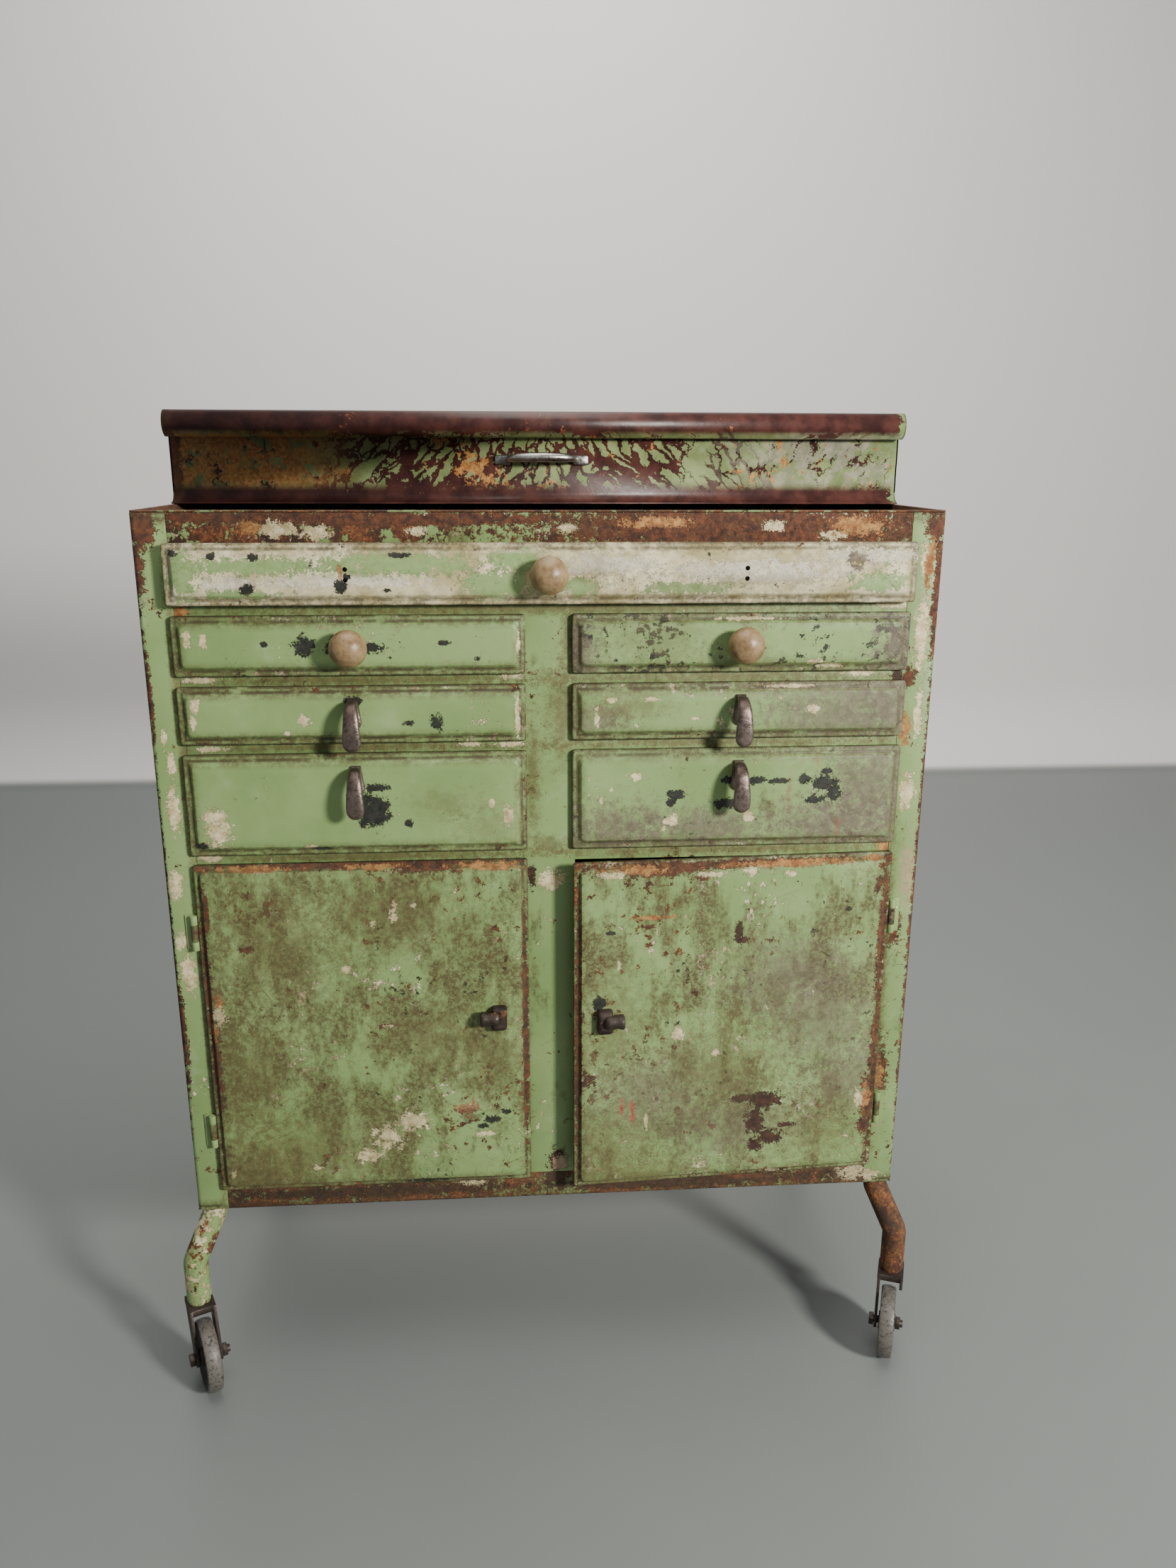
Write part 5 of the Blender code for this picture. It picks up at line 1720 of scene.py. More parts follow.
@dataclass
class Hood:
    """The roll-fronted hood: bent sheet, end plates and hinge knuckles."""

    half_width: float = 0.3735
    bottom: float = RIM + 0.002
    height: float = 0.0895
    front: float = -0.050
    nose: float = 0.013
    nose_reach: float = 0.022
    flare: float = 0.010
    hinge_y: float = 0.2045
    hinge_z: float = 0.9235
    hinge_length: float = 0.600
    knuckles: int = 9
    barrel: float = 0.0035

    def outline(self) -> list[Flat]:
        """The section from the front flare, round the nose, to the back's lower edge."""
        top = self.bottom + self.height
        points = []
        for across, out in quarter(10):
            y = self.front - self.flare * (1 - out)
            points.append((y, self.bottom + self.flare * (1 - across)))
        centre_y = self.front - self.nose_reach + self.nose
        centre_z = top - self.nose
        start = math.acos((self.front - centre_y) / self.nose)
        sweep = 2 * math.pi - start - math.pi / 2
        for step in range(33):
            angle = -start - sweep * step / 32
            y, z = self.nose * math.cos(angle), self.nose * math.sin(angle)
            points.append((centre_y + y, centre_z + z))
        bend = 0.003
        for across, out in quarter(6):
            points.append((BACK - bend * (1 - out), top - bend * (1 - across)))
        points.append((BACK, self.bottom))
        return points

    def build(self, shop: Workshop, finish: HoodLacquer) -> None:
        """Builds the hood's sheet, its end plates and its knuckles."""
        outline = self.outline()
        points = [(-self.half_width, y, z) for y, z in outline]
        length = (2 * self.half_width, 0.0, 0.0)
        sheet = shop.folded("hood_sheet", points, length, (0.0, 0.07, 0.955), finish)
        solidify(sheet, SHEET)
        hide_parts("lid_hood")
        shop.mount(sheet, "hood", "hood_enamel")
        plates = bmesh.new()
        for side in (-1, 1):
            ends = (side * (self.half_width - SHEET), side * self.half_width)
            loft(plates, [[(x, y, z) for y, z in outline] for x in ends])
        bmesh.ops.recalc_face_normals(plates, faces=plates.faces)
        shop.place("hood_end_plates", plates, finish, "hood", "hood_enamel")
        knuckles = bmesh.new()
        pitch = self.hinge_length / self.knuckles
        for index in range(1, self.knuckles, 2):
            low = -self.hinge_length / 2 + index * pitch + GAP
            high = low + pitch - 2 * GAP
            merge_into(knuckles, self._knuckle(low, high))
        shop.place("hood_knuckles", knuckles, finish, "hood", "hood_enamel")

    def _knuckle(self, low: float, high: float) -> Shape:
        """One rolled knuckle with the tab that joins it to the hood's back."""
        start = Matrix.Translation((low, self.hinge_y, self.hinge_z))
        place = start @ Matrix.Rotation(math.pi / 2, 4, "Y")
        shape = revolve(knuckle(self.barrel, 0.0, high - low), place, 24)
        root, top = BACK - SHEET / 2, self.hinge_z + self.barrel
        tab = [
            (root, self.hinge_z + 0.0012), (root, top), (self.hinge_y, top),
            (self.hinge_y, top - THIN_SHEET),
        ]
        loft(shape, [[(x, y, z) for y, z in tab] for x in (low, high)])
        bmesh.ops.recalc_face_normals(shape, faces=shape.faces)
        return shape


@dataclass
class DoorKnuckles:
    """The moving knuckles of one door's two hinges."""

    side: int
    heights: tuple[float, ...] = (0.294, 0.515)
    half: float = 0.0087
    barrel: float = 0.0035
    turn: Matrix | None = None

    def build(self, shop: Workshop, finish: Enamel) -> None:
        """Builds both knuckles on their door."""
        label = side_name(self.side)
        shape = bmesh.new()
        for z in self.heights:
            place = Matrix.Translation((self.side * HINGE_AXIS[0], HINGE_AXIS[1], z))
            merge_into(shape, revolve(knuckle(self.barrel, -self.half, self.half), place, 24))
        if self.turn:
            shape.transform(self.turn)
        shop.place(f"{label}_door_knuckles", shape, finish, f"{label}_door_leaf", "front_enamel")


@dataclass
class Leg:
    """A bent round bar that splays out to its knee and drops to the caster."""

    label: str
    x: float
    y: float
    radius: float = 0.0127
    top: float = BODY_LOW - GAP
    straight: float = 0.007
    splay: float = 0.0205
    knee: float = 0.1405
    end: float = 0.0915
    bend: float = 0.016

    def build(self, shop: Workshop, finish: Finish) -> None:
        """Bends the bar and sets it under the body."""
        away = Vector((math.copysign(self.splay, self.x), math.copysign(self.splay, self.y)))
        run = away.length
        flat = fold(
            [(0.0, self.top), (0.0, self.top - self.straight), (run, self.knee), (run, self.end)],
            self.bend,
            10,
        )
        toward = away.normalized()
        points = [(self.x + toward.x * a, self.y + toward.y * a, z) for a, z in flat]
        fine = []
        for before, after in zip(points, points[1:]):
            steps = max(1, int((Vector(before) - Vector(after)).length / 0.004))
            fine += [tuple(Vector(before).lerp(Vector(after), s / steps)) for s in range(steps)]
        fine.append(points[-1])
        shares = [1.0 - 0.10 * max(0.0, 1 - 4 * abs(i / (len(fine) - 1))) for i in range(len(fine))]
        shares[0] = 0.93
        shares[-1] = 0.93
        shape = shop.bar(f"leg_{self.label}", fine, self.radius, shares, finish, 36)
        name, node = f"leg_bar_{self.label}", f"leg_{self.label}"
        shop.place(name, shape, finish, "carcass", "leg_paint", node, 50.0)


@dataclass
class Caster:
    """A swivelling caster: forged fork, axle bolt and a hard wheel."""

    label: str
    x: float
    y: float
    swivel: float
    trail: float = 0.024
    radius: float = 0.038
    width: float = 0.016
    hub: float = 0.018
    bore: float = 0.0043

    def build(self, shop: Workshop, looks: "Looks") -> None:
        """Dresses the fork and the axle, and builds the wheel."""
        fork = shop.refined(f"fork_{self.label}", looks.iron, 0.0006)
        axle = shop.refined(f"axle_{self.label}", looks.iron, 0.0005)
        half, hub, outer = self.width / 2, self.hub / 2, self.radius
        profile = [
            (self.bore, hub), (0.0088, hub), (0.0094, hub - 0.0006), (0.0100, 0.62 * half),
            (0.0112, 0.55 * half), (0.60 * outer, 0.50 * half), (0.78 * outer, 0.55 * half),
            (0.815 * outer, 0.70 * half), (0.84 * outer, 0.93 * half), (0.87 * outer, half),
            (0.93 * outer, half), (0.965 * outer, 0.90 * half), (0.985 * outer, 0.68 * half),
            (0.997 * outer, 0.35 * half), (outer, 0.0),
        ]
        profile += [(radius, -across) for radius, across in reversed(profile[:-1])]
        profile.append(profile[0])
        place = (
            Matrix.Translation((self.x, self.y, 0.0))
            @ Matrix.Rotation(self.swivel, 4, "Z")
            @ Matrix.Translation((0.0, -self.trail, self.radius))
        )
        turn = Matrix.Rotation(math.pi / 2, 4, "Y")
        shape = revolve(profile, place @ turn, 72)
        wear = shape.verts.layers.float.new("edge_wear")
        centre = place.to_translation()
        for vert in shape.verts:
            away = (vert.co - centre).length / outer
            vert[wear] = max(0.0, min(1.0, (away - 0.90) / 0.06))
        name, body = f"wheel_turned_{self.label}", f"roller_{self.label}"
        shop.place(name, shape, looks.wheel, body, "wheel_rubber", f"wheel_{self.label}", 35.0)


# ------------------------------------------------------------------ the cabinet's finishes


@dataclass
class Looks:
    """Every finish of the cabinet, by where it goes."""

    iron: Aged = IRON
    nickel: Aged = NICKEL
    pull: Aged = PULL_METAL
    knob: Aged = KNOB_TAN
    inside: Aged = INNER
    wheel: Aged = RUBBER
    tray: Enamel = Enamel(
        "tray_enamel", (-0.375, 0.88), (0.375, 0.93), 4.0, cream=0.22, rust=0.52, grime=0.5,
        edge=0.4,
        spots=marks(WearAndShade.RUST, (-365, 915, 26, 14), (365, 915, 22, 14))
        # Painted shade: a dark brown band across the tray's floor, where the recess under the hood's
        # flare lies in shade.
        + marks(WearAndShade.BROWN, (0, 900, 420, 14), fray=1.0, deep=0.22),
    )
    back: Enamel = Enamel(
        "back_enamel", (-0.37, 0.197), (0.37, 0.918), 8.0, cream=0.14, rust=0.16, grime=0.5,
        scratch=0.5,
    )
    bottom: Enamel = Enamel(
        "bottom_enamel", (-0.345, 0.150), (0.345, 0.227), 5.0, cream=0.14, rust=0.52, grime=1.3,
        edge=0.3,
        spots=marks(WearAndShade.CREAM, (330, 211, 22, 8), (-85, 217, 16, 4))
        + marks(WearAndShade.BROWN, (5, 222, 11, 9), (150, 210, 160, 7), (-200, 212, 130, 6))
        + marks(WearAndShade.RUST, (-310, 200, 30, 5), (220, 212, 40, 3)),
    )
    top_band: Enamel = Enamel(
        "top_band_enamel", (-0.375, 0.880), (0.375, 0.935), 6.0, cream=0.30, rust=0.50, grime=0.55,
        edge=0.3,
        spots=marks(WearAndShade.RUST, (180, 905, 200, 20), (-120, 912, 160, 6), (-300, 914, 60, 5),
            fray=3.5)
        + marks(WearAndShade.CREAM, (-245, 903, 20, 7), (-210, 900, 14, 6), (-120, 902, 10, 4),
            (210, 906, 10, 5), (270, 898, 12, 5), (20, 904, 8, 4))
        + marks(WearAndShade.ORANGE, (290, 906, 24, 8), (100, 909, 30, 5), (-270, 905, 10, 6)),
    )
    frame: Enamel = Enamel(
        "frame_enamel", (-0.5, 0.0), (0.5, 1.5), 7.0, cream=0.13, bare=0.03, rust=0.12, grime=0.46,
        edge=0.0,
        spots=marks(WearAndShade.OLIVE, (-180, 765, 190, 6), (180, 765, 190, 7), (-180, 700, 190, 5),
            (180, 700, 190, 6), (-180, 590, 190, 5), (180, 590, 190, 6), (0, 831, 380, 6),
            strength=0.9, soft=True)
        + marks(WearAndShade.OLIVE, (12, 730, 14, 45), (-16, 670, 7, 60), (0, 598, 20, 9), (18, 800, 6, 40),
            strength=0.8, soft=True)
        + marks(WearAndShade.CREAM, (-34, 767, 9, 3), (-38, 701, 12, 3), (-75, 702, 10, 3),
            (-325, 766, 16, 3), (-320, 700, 14, 3), (-330, 591, 12, 4), (300, 767, 14, 4),
            (2, 561, 13, 10), (330, 833, 14, 4))
        + marks(WearAndShade.BROWN, (6, 241, 10, 13), (340, 766, 8, 8), (-18, 565, 4, 12))
        + marks(WearAndShade.TAN, (10, 238, 8, 9))
        + marks(WearAndShade.ORANGE, (-338, 830, 8, 5), (338, 590, 8, 6)),
    )
    left_side: Enamel = Enamel(
        "left_side_enamel", (-0.5, 0.197), (0.5, 0.918), 9.0, cream=0.13, bare=0.05, rust=0.12,
        grime=0.34, edge=0.5,
        spots=marks(WearAndShade.CREAM, (-365, 565, 8, 14), (-360, 470, 7, 20), (-365, 505, 6, 10),
            (-360, 640, 6, 22), (-358, 685, 4, 12), (-362, 710, 3, 8), deep=0.03, y=-0.2)
        + marks(WearAndShade.RUST, (-366, 905, 14, 20), (-372, 870, 6, 30), (-372, 400, 4, 60),
            (-372, 750, 3, 50), deep=0.03, y=-0.2)
        + marks(WearAndShade.BROWN, (-375, 500, 3, 200), (-375, 800, 3, 90), fray=4.0, deep=0.008, y=-0.2)
        + marks(WearAndShade.OLIVE, (-346, 720, 5, 160), (-346, 380, 5, 160), strength=0.9, soft=True,
            deep=0.03, y=-0.2),
    )
    right_side: Enamel = Enamel(
        "right_side_enamel", (-0.5, 0.197), (0.5, 0.918), 11.0, cream=0.16, bare=0.04, rust=0.16,
        grime=0.42, edge=0.5,
        spots=marks(WearAndShade.CREAM, (360, 875, 7, 16), (360, 805, 7, 36), (357, 645, 8, 18),
            (362, 725, 4, 24), (340, 208, 18, 8), deep=0.03, y=-0.2)
        + marks(WearAndShade.RUST, (372, 850, 5, 70), (352, 330, 8, 34), (355, 500, 7, 22),
            (350, 762, 7, 9), (366, 905, 10, 14), deep=0.03, y=-0.2)
        + marks(WearAndShade.ORANGE, (350, 710, 6, 14), (350, 330, 6, 18), (362, 870, 4, 22), deep=0.03,
            y=-0.2)
        + marks(WearAndShade.TAN, (366, 560, 9, 36), (352, 290, 6, 22), strength=0.75, soft=True, deep=0.03,
            y=-0.2)
        + marks(WearAndShade.OLIVE, (346, 450, 6, 170), strength=0.9, soft=True, deep=0.03, y=-0.2)
        + marks(WearAndShade.RUST, (375, 550, 4, 330), fray=4.5, deep=0.010, y=-0.2),
    )
    wide: Enamel = Enamel(
        "wide_drawer_enamel", (-0.346, 0.836), (0.346, 0.892), 12.0, cream=0.86, bare=0.12,
        rust=0.03, grime=0.30, edge=0.45,
        spots=marks(WearAndShade.PALE, (-185, 858, 70, 6), (-290, 856, 25, 6), (50, 872, 50, 8),
            (200, 866, 80, 9), (300, 880, 36, 6), fray=5.0)
        + marks(WearAndShade.GREEN, (-328, 865, 13, 20), (-260, 872, 60, 7), (-140, 873, 70, 9),
            (-280, 847, 30, 4), (-30, 876, 26, 9), (-45, 855, 30, 12), (310, 856, 26, 8),
            (130, 851, 40, 5), (30, 852, 14, 8))
        + marks(WearAndShade.OLIVE, (160, 855, 110, 10), (40, 865, 22, 14), strength=0.45, soft=True)
        + marks(WearAndShade.BLACK, (-188, 853, 6, 6.5), (-272, 851, 7, 5), (-301.5, 881, 4, 3.5),
            (-265, 880, 5, 3.5), (-135.5, 881.5, 9, 2.6), (-336, 884, 5, 3), (-147, 850, 4, 2),
            (-183, 862, 3, 3), fray=2.4)
        + marks(WearAndShade.BROWN, (288.5, 876, 9, 7), strength=0.75)
        + marks(WearAndShade.ORANGE, (-188.5, 866, 2.2, 6), strength=0.8),
    )
    left_1: Enamel = Enamel(
        "left_first_drawer_enamel", (-0.346, 0.770), (-0.022, 0.826), 13.0, cream=0.15, bare=0.10,
        rust=0.02, grime=0.14, edge=0.55,
        spots=marks(WearAndShade.BLACK, (-226, 799, 9, 9), (-196, 799, 12, 7), (-166, 796, 14, 5),
            (-262, 801, 3.5, 3), (-98, 800.5, 6, 2), (-66, 785, 3, 2), fray=3.4)
        + marks(WearAndShade.CREAM, (-331.5, 806, 4.5, 7), (-316, 803, 4, 6.5), (-28.6, 800, 2, 14),
            fray=3.2),
    )
    left_2: Enamel = Enamel(
        "left_second_drawer_enamel", (-0.346, 0.705), (-0.022, 0.760), 14.0, cream=0.13, bare=0.06,
        rust=0.02, grime=0.16, edge=0.62,
        spots=marks(WearAndShade.BLACK, (-106.5, 724, 6, 7), (-132, 725, 5, 2.5), (-184, 747, 8, 4),
            fray=3.4)
        + marks(WearAndShade.CREAM, (-329, 744, 4, 8), (-332, 728, 3, 6), (-230, 728, 7, 5),
            (-30, 730, 2.5, 20), (-246, 716, 3, 2), fray=3.4),
    )
    left_3: Enamel = Enamel(
        "left_third_drawer_enamel", (-0.346, 0.595), (-0.022, 0.695), 15.0, cream=0.05, bare=0.05,
        rust=0.03, grime=0.20, edge=0.55,
        spots=marks(WearAndShade.BLACK, (-170, 640, 17, 17), (-166, 662, 12, 4), (-136, 626, 5, 4),
            (-184, 664, 8, 4), (-334, 606, 6, 4), (-222, 601, 9, 1.6), fray=2.6)
        + marks(WearAndShade.CREAM, (-322, 636, 9, 7), (-320, 618, 9, 11), (-318, 625, 12, 17),
            (-40, 632, 5, 11), (-56, 645, 3, 5), (-232, 604, 6, 2), fray=3.6)
        + marks(WearAndShade.OLIVE, (-60, 620, 30, 20), (-100, 645, 30, 14), strength=0.4, soft=True),
    )
    right_1: Enamel = Enamel(
        "right_first_drawer_enamel", (0.022, 0.770), (0.346, 0.826), 16.0, cream=0.16, bare=0.30,
        rust=0.02, grime=0.24, edge=0.55,
        spots=marks(WearAndShade.SMOKE, (335, 795, 26, 32), (30, 795, 18, 30), strength=0.9, soft=True)
        + marks(WearAndShade.OLIVE, (184, 780, 40, 16), (100, 800, 40, 22), strength=0.45, soft=True)
        + marks(WearAndShade.CREAM, (255, 780, 7, 2), (270, 775.5, 12, 2.5), (190, 821, 30, 1.6)),
    )
    right_2: Enamel = Enamel(
        "right_second_drawer_enamel", (0.022, 0.705), (0.346, 0.760), 17.0, cream=0.16, bare=0.05,
        rust=0.03, grime=0.36, edge=0.6,
        spots=marks(WearAndShade.SMOKE, (280, 732, 80, 30), (325, 740, 30, 30), (50, 728, 26, 12),
            strength=0.8, soft=True)
        + marks(WearAndShade.OLIVE, (75, 737, 40, 12), strength=0.6, soft=True)
        + marks(WearAndShade.CREAM, (45, 728, 3, 9), (100, 745, 8, 2), (140, 726, 5, 2),
            (230, 756, 24, 1.6), (255, 734, 7, 4), (60, 744, 4, 3), fray=3.6),
    )
    right_3: Enamel = Enamel(
        "right_third_drawer_enamel", (0.022, 0.595), (0.346, 0.695), 18.0, cream=0.17, bare=0.08,
        rust=0.05, grime=0.34, edge=0.5,
        spots=marks(WearAndShade.SMOKE, (315, 650, 50, 60), (280, 620, 60, 26), (150, 615, 70, 22),
            (60, 615, 50, 26), strength=0.85, soft=True)
        + marks(WearAndShade.BLACK, (205, 663, 9, 4), (225, 662, 12, 3), (250, 664, 8, 4),
            (268, 659, 14, 6), (280, 650, 8, 9), (262, 643, 10, 4), (125, 650, 8, 5),
            (118, 642, 5, 4), (182, 664, 12, 4), (174, 640, 12, 5), (272, 672, 5, 3), fray=3.4)
        + marks(WearAndShade.CREAM, (83, 669, 6, 6), (120, 625, 8, 6), (196, 626, 5, 6), (60, 655, 2, 3),
            (50, 645, 1.6, 3), (112, 615, 4, 3), fray=3.6)
        + marks(WearAndShade.RED, (262, 682, 2, 9), (235, 655, 2, 14), (285, 615, 2, 10), strength=0.4,
            soft=True),
    )
    left_door: Enamel = Enamel(
        "left_door_enamel", (-0.346, 0.224), (-0.022, 0.585), 19.0, cream=0.20, bare=0.12, rust=0.17,
        grime=0.70, scratch=0.6, edge=0.5,
        spots=marks(WearAndShade.OLIVE, (-160, 530, 60, 40), (-270, 500, 60, 70), (-120, 395, 60, 34),
            (-260, 270, 100, 50), (-60, 370, 40, 44), (-300, 360, 40, 60), (-300, 240, 50, 40),
            strength=0.6, soft=True)
        + marks(WearAndShade.RUST, (-180, 582.5, 170, 3.2), (-341, 460, 4, 70), (-339, 380, 5, 60),
            (-120, 580, 40, 5), (-336, 540, 3, 20), (-300, 497, 7, 3), (-26, 400, 3, 120),
            fray=4.0)
        + marks(WearAndShade.ORANGE, (-60, 580, 34, 3.5), (-332, 440, 5, 11), (-290, 581, 30, 3),
            (-170, 581, 24, 2.6), (-338, 410, 3, 10), fray=4.0)
        + marks(WearAndShade.CREAM, (-331.5, 428, 6, 9), (-170, 284, 16, 12), (-145, 300, 14, 12),
            (-190, 262, 12, 8), (-155, 535, 4, 10), (-135, 540, 3, 3), (-175, 523, 4, 4),
            (-205, 474, 4, 3), (-165, 411, 6, 2), (-70, 283, 8, 3), (-245, 249, 4, 2),
            (-332, 247, 3, 4), fray=5.0)
        + marks(WearAndShade.RED, (-87, 314, 10, 9), strength=0.7)
        + marks(WearAndShade.BROWN, (-85, 303, 9, 10), (-100, 226, 60, 3), strength=0.55)
        + marks(WearAndShade.BLACK, (-63, 300, 9, 4), (-72, 292, 6, 3), (-47, 309, 6, 3),
            (-130, 227.5, 22, 2), fray=3.2),
    )
    right_door: Enamel = Enamel(
        "right_door_enamel", (0.022, 0.224), (0.346, 0.585), 21.0, cream=0.22, bare=0.13, rust=0.19,
        grime=0.62, scratch=0.45, edge=0.5,
        spots=marks(WearAndShade.SMOKE, (285, 410, 60, 60), (240, 460, 50, 40), (310, 330, 40, 40),
            (100, 330, 70, 50), (200, 290, 70, 40), strength=0.7, soft=True)
        + marks(WearAndShade.OLIVE, (60, 270, 50, 50), (180, 350, 60, 50), (60, 410, 40, 60),
            (280, 280, 60, 40), (90, 235, 80, 18), strength=0.55, soft=True)
        + marks(WearAndShade.RUST, (100, 577, 60, 7), (190, 579, 120, 4), (340, 500, 5, 80),
            (341, 350, 5, 110), (333, 552, 4, 12), (337, 300, 8, 34), (27, 400, 3, 150),
            (150, 567, 8, 3), fray=4.0)
        + marks(WearAndShade.ORANGE, (80, 577, 30, 4), (240, 578, 60, 3), (325, 580, 10, 3),
            (105, 527, 20, 2.4), (335, 310, 5, 14), fray=4.4)
        + marks(WearAndShade.CREAM, (60, 573, 12, 4), (200, 573, 10, 4), (160, 570, 14, 3),
            (130, 398, 6, 8), (170, 374, 5, 4), (68, 475, 2, 6), (327, 310, 4, 10),
            (98, 300, 2, 10), (240, 568, 6, 3), fray=4.4)
        + marks(WearAndShade.BROWN, (190, 510, 4, 10), (193, 498, 6, 4), (225, 315, 16, 10),
            (215, 290, 10, 18), (230, 270, 16, 8), (215, 262, 8, 8), (200, 318, 12, 4),
            (250, 284, 8, 3), fray=3.4)
        + marks(WearAndShade.RED, (72, 315, 2, 11), (83, 312, 2.6, 12), strength=0.9)
        + marks(WearAndShade.BLACK, (302, 527, 3.5, 2.6), (59.5, 512, 4.5, 2), (47, 436, 7, 9), fray=2.0),
    )
    leg_green: Enamel = Enamel(
        "green_leg_enamel", (-9.0, -9.0), (9.0, 9.0), 23.0, cream=0.40, bare=0.14, rust=0.36,
        grime=0.40, edge=0.0,
    )
    leg_rust: Enamel = Enamel(
        "rusty_leg_enamel", (-9.0, -9.0), (9.0, 9.0), 25.0, cream=0.28, bare=0.20, rust=0.86,
        grime=0.70, edge=0.0,
    )
    hood: HoodLacquer = HoodLacquer()


# ------------------------------------------------------------------ the whole cabinet


@dataclass
class Cabinet:
    """The whole cabinet: where each sub-assembly goes and what it wears."""

    looks: Looks = field(default_factory=Looks)
    middle: float = 0.184
    leg_x: float = 0.3605
    leg_y: float = 0.1855
    splay: float = 0.0205
    ajar: float = 0.007

    def build(self, shop: Workshop) -> None:
        """Builds every sub-assembly in order.

        Args:
            shop: makes the pieces.
        """
        Carcass().build(shop, self.looks)
        self._drawers(shop)
        self._doors(shop)
        self._lid(shop)
        self._legs(shop)

    def _drawers(self, shop: Workshop) -> None:
        """The drawers' boxes, fronts, knobs and pulls."""
        looks = self.looks
        small = [f"{side}_drawer_{n}" for side in ("left", "right") for n in (1, 2, 3)]
        for body in ("wide_drawer", *small):
            box = shop.refined(f"{body}_box", looks.inside, 0.0004)
        holes = tuple((s * self.middle, 0.864 + h) for s in (-1, 1) for h in (-0.00475, 0.00475))
        body = "wide_drawer"
        PressedFront(f"{body}_front", body, looks.wide, push=self.ajar, holes=holes).build(shop)
        Knob(f"{body}_knob", body, 0.0, 0.864, FACE_Y - GAP - self.ajar).build(shop, looks.knob)
        for side, fronts in (
            (-1, (looks.left_1, looks.left_2, looks.left_3)),
            (1, (looks.right_1, looks.right_2, looks.right_3)),
        ):
            label = side_name(side)
            for number, finish in enumerate(fronts, 1):
                body = f"{label}_drawer_{number}"
                PressedFront(f"{body}_front", body, finish).build(shop)
                x = side * self.middle
                if number == 1:
                    Knob(f"{body}_knob", body, x, 0.798, FACE_Y - GAP).build(shop, looks.knob)
                else:
                    pull = FingerPull(f"{body}_pull", body, x, finish.high[1] - 0.011)
                    pull.build(shop, looks.pull)

    def _doors(self, shop: Workshop) -> None:
        """The doors with their hinges and turn catches; the right one stands ajar."""
        pivot = Vector((*HINGE_AXIS, 0.0))
        swing = Matrix.Rotation(DOOR_AJAR, 4, "Z")
        opened = Matrix.Translation(pivot) @ swing @ Matrix.Translation(-pivot)
        looks = self.looks
        for side, finish, turn in ((-1, looks.left_door, None), (1, looks.right_door, opened)):
            label = side_name(side)
            leaf = f"{label}_door_leaf"
            PressedFront(f"{label}_door", leaf, finish, bevel=0.003, turn=turn).build(shop)
            DoorKnuckles(side, turn=turn).build(shop, finish)
            Latch(side, turn=turn).build(shop, looks.iron)
            for place in ("lower", "upper"):
                hinge = shop.refined(f"{label}_hinge_{place}", looks.frame, 0.0003)

    def _lid(self, shop: Workshop) -> None:
        """The hood, its bow handle and its long hinge."""
        Hood().build(shop, self.looks.hood)
        BowHandle().build(shop, self.looks.nickel, self.looks.nickel)
        shop.refined("lid_hinge", self.looks.iron, 0.0003)

    def _legs(self, shop: Workshop) -> None:
        """The four legs and their casters."""
        left, right = math.radians(25), math.radians(-21)
        for label, sx, sy, swivel, finish in (
            ("front_left", -1, -1, left, self.looks.leg_green),
            ("front_right", 1, -1, right, self.looks.leg_rust),
            ("back_right", 1, 1, math.pi + left, self.looks.leg_rust),
            ("back_left", -1, 1, math.pi + right, self.looks.leg_green),
        ):
            x, y = sx * self.leg_x, sy * self.leg_y
            Leg(label, x, y).build(shop, finish)
            Caster(label, x + sx * self.splay, y + sy * self.splay, swivel).build(shop, self.looks)


# ------------------------------------------------------------------ studio


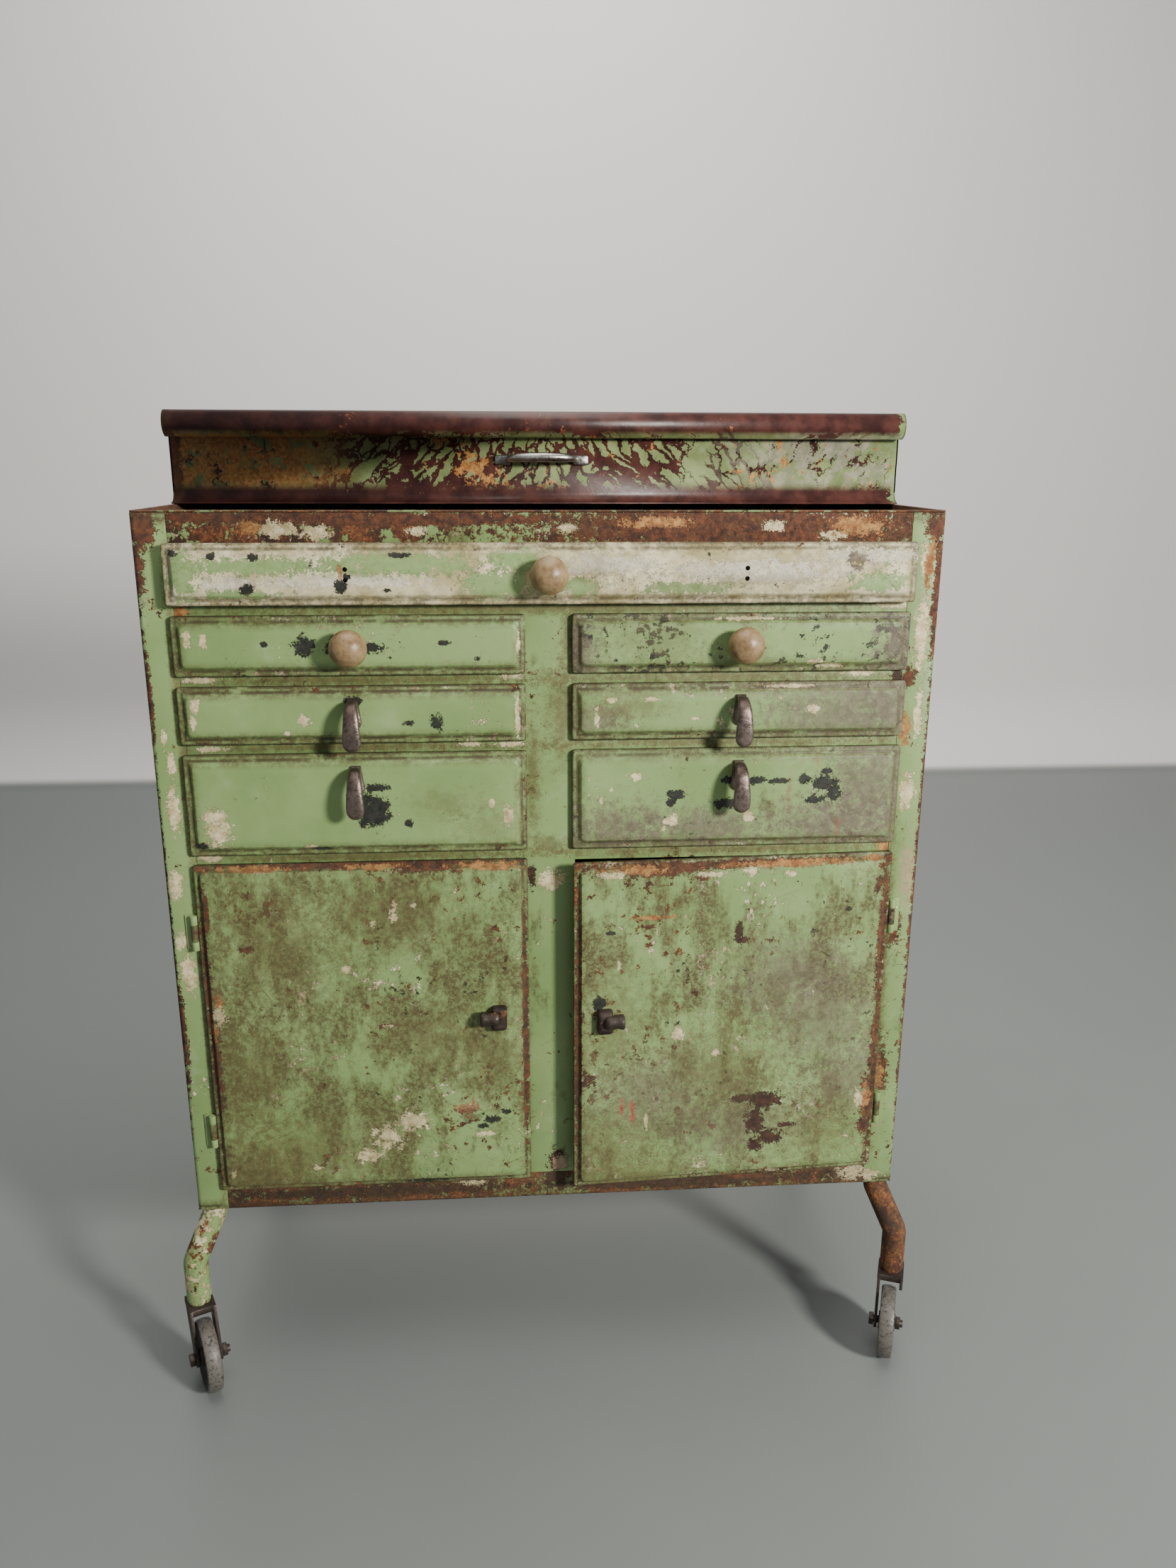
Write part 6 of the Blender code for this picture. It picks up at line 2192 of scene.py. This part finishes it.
@dataclass
class Studio:
    """A pale floor that curves up into a wall, soft light and the camera."""

    eye: Point = (-0.0423, -1.2894, 0.9657)
    yaw: float = 0.0734
    pitch: float = 0.2733
    roll: float = 0.0031
    lens: float = 26.65
    key_from: Point = (1.62, -2.05, 1.48)
    key_size: float = 0.42
    key_power: float = 104.0
    above_from: Point = (0.0, -0.45, 2.9)
    above_size: float = 1.8
    above_power: float = 32.0
    back_from: Point = (0.0, 1.1, 2.9)
    back_power: float = 34.0
    surround: float = 0.33
    wall_y: float = 2.4
    reach: float = 7.0

    def build(self) -> None:
        """Sets up the room, the lights and the camera."""
        self._room()
        self._lights()
        self._camera()

    def _room(self) -> None:
        """The floor, its upward curve and the wall."""
        line = [(-self.reach, 0.0), (self.wall_y - 0.25, 0.0)]
        for across, out in quarter(12)[1:]:
            line.append((self.wall_y - 0.25 + 0.25 * out, 0.25 - 0.25 * across))
        line.append((self.wall_y, 5.0))
        shape = bmesh.new()
        near = [shape.verts.new((-self.reach, y, z)) for y, z in line]
        far = [shape.verts.new((self.reach, y, z)) for y, z in line]
        for a, b, c, d in zip(near, far, far[1:], near[1:]):
            shape.faces.new((a, b, c, d))
        made, w, shader, position = blank_material("studio_paint")
        upward = w.split(position)[2]
        cloudy = w.noise(position, 1.4, 4.0, 0.6)
        grey = w.blend(cloudy, (0.175, 0.195, 0.192), (0.215, 0.236, 0.233))
        white = w.blend(cloudy, (0.86, 0.85, 0.84), (0.90, 0.89, 0.88))
        lifted = w.rise(upward, 0.004, 0.02)
        w.feed(shader.inputs["Base Color"], w.blend(lifted, grey, white))
        w.feed(shader.inputs["Roughness"], w.lerp(lifted, w.scaled(cloudy, 0.2, 0.30), 0.85))
        room = finished("studio_room", shape, made, 60.0)

    def _lights(self) -> None:
        """A key light from the right and a dim even surround."""
        middle, wall, broad = (0.0, -0.1, 0.55), (0.0, self.wall_y, 1.1), self.above_size
        self._light("key", self.key_from, middle, self.key_size, self.key_power)
        self._light("overhead", self.above_from, middle, broad, self.above_power)
        self._light("backdrop", self.back_from, wall, broad, self.back_power)
        world = bpy.data.worlds.new("surround")
        world.use_nodes = True
        world.node_tree.nodes["Background"].inputs[0].default_value = (0.80, 0.82, 0.85, 1.0)
        world.node_tree.nodes["Background"].inputs[1].default_value = self.surround
        bpy.context.scene.world = world

    @staticmethod
    def _light(name: str, place: Point, target: Point, size: float, power: float) -> None:
        """Adds a round light that faces a target."""
        data = bpy.data.lights.new(name, "AREA")
        data.shape = "DISK"
        data.size = size
        data.energy = power
        data.color = (1.0, 0.95, 0.88)
        light = bpy.data.objects.new(name, data)
        light.location = place
        aim = Vector(target) - light.location
        light.rotation_mode = "QUATERNION"
        light.rotation_quaternion = aim.to_track_quat("-Z", "Y")
        bpy.context.scene.collection.objects.link(light)

    def _camera(self) -> None:
        """The camera, turned by its yaw, pitch and roll."""
        cos_pitch = math.cos(self.pitch)
        ahead = Vector(
            (math.sin(self.yaw) * cos_pitch, math.cos(self.yaw) * cos_pitch, -math.sin(self.pitch))
        )
        right = Vector((math.cos(self.yaw), -math.sin(self.yaw), 0.0))
        up = right.cross(ahead)
        tilted_right = (right + up * self.roll).normalized()
        tilted_up = tilted_right.cross(ahead)
        basis = Matrix((tilted_right, tilted_up, -ahead)).transposed().to_4x4()
        data = bpy.data.cameras.new("camera")
        data.lens = self.lens
        data.sensor_width = 36.0
        camera = bpy.data.objects.new("camera", data)
        camera.matrix_world = Matrix.Translation(self.eye) @ basis
        bpy.context.scene.collection.objects.link(camera)
        bpy.context.scene.camera = camera


def main() -> None:
    """Builds the cabinet and the studio."""
    logging.basicConfig(level=logging.INFO, format="%(name)s: %(message)s")
    shop = Workshop(Effects())
    Cabinet().build(shop)
    Studio().build()


if __name__ == "__main__":
    main()
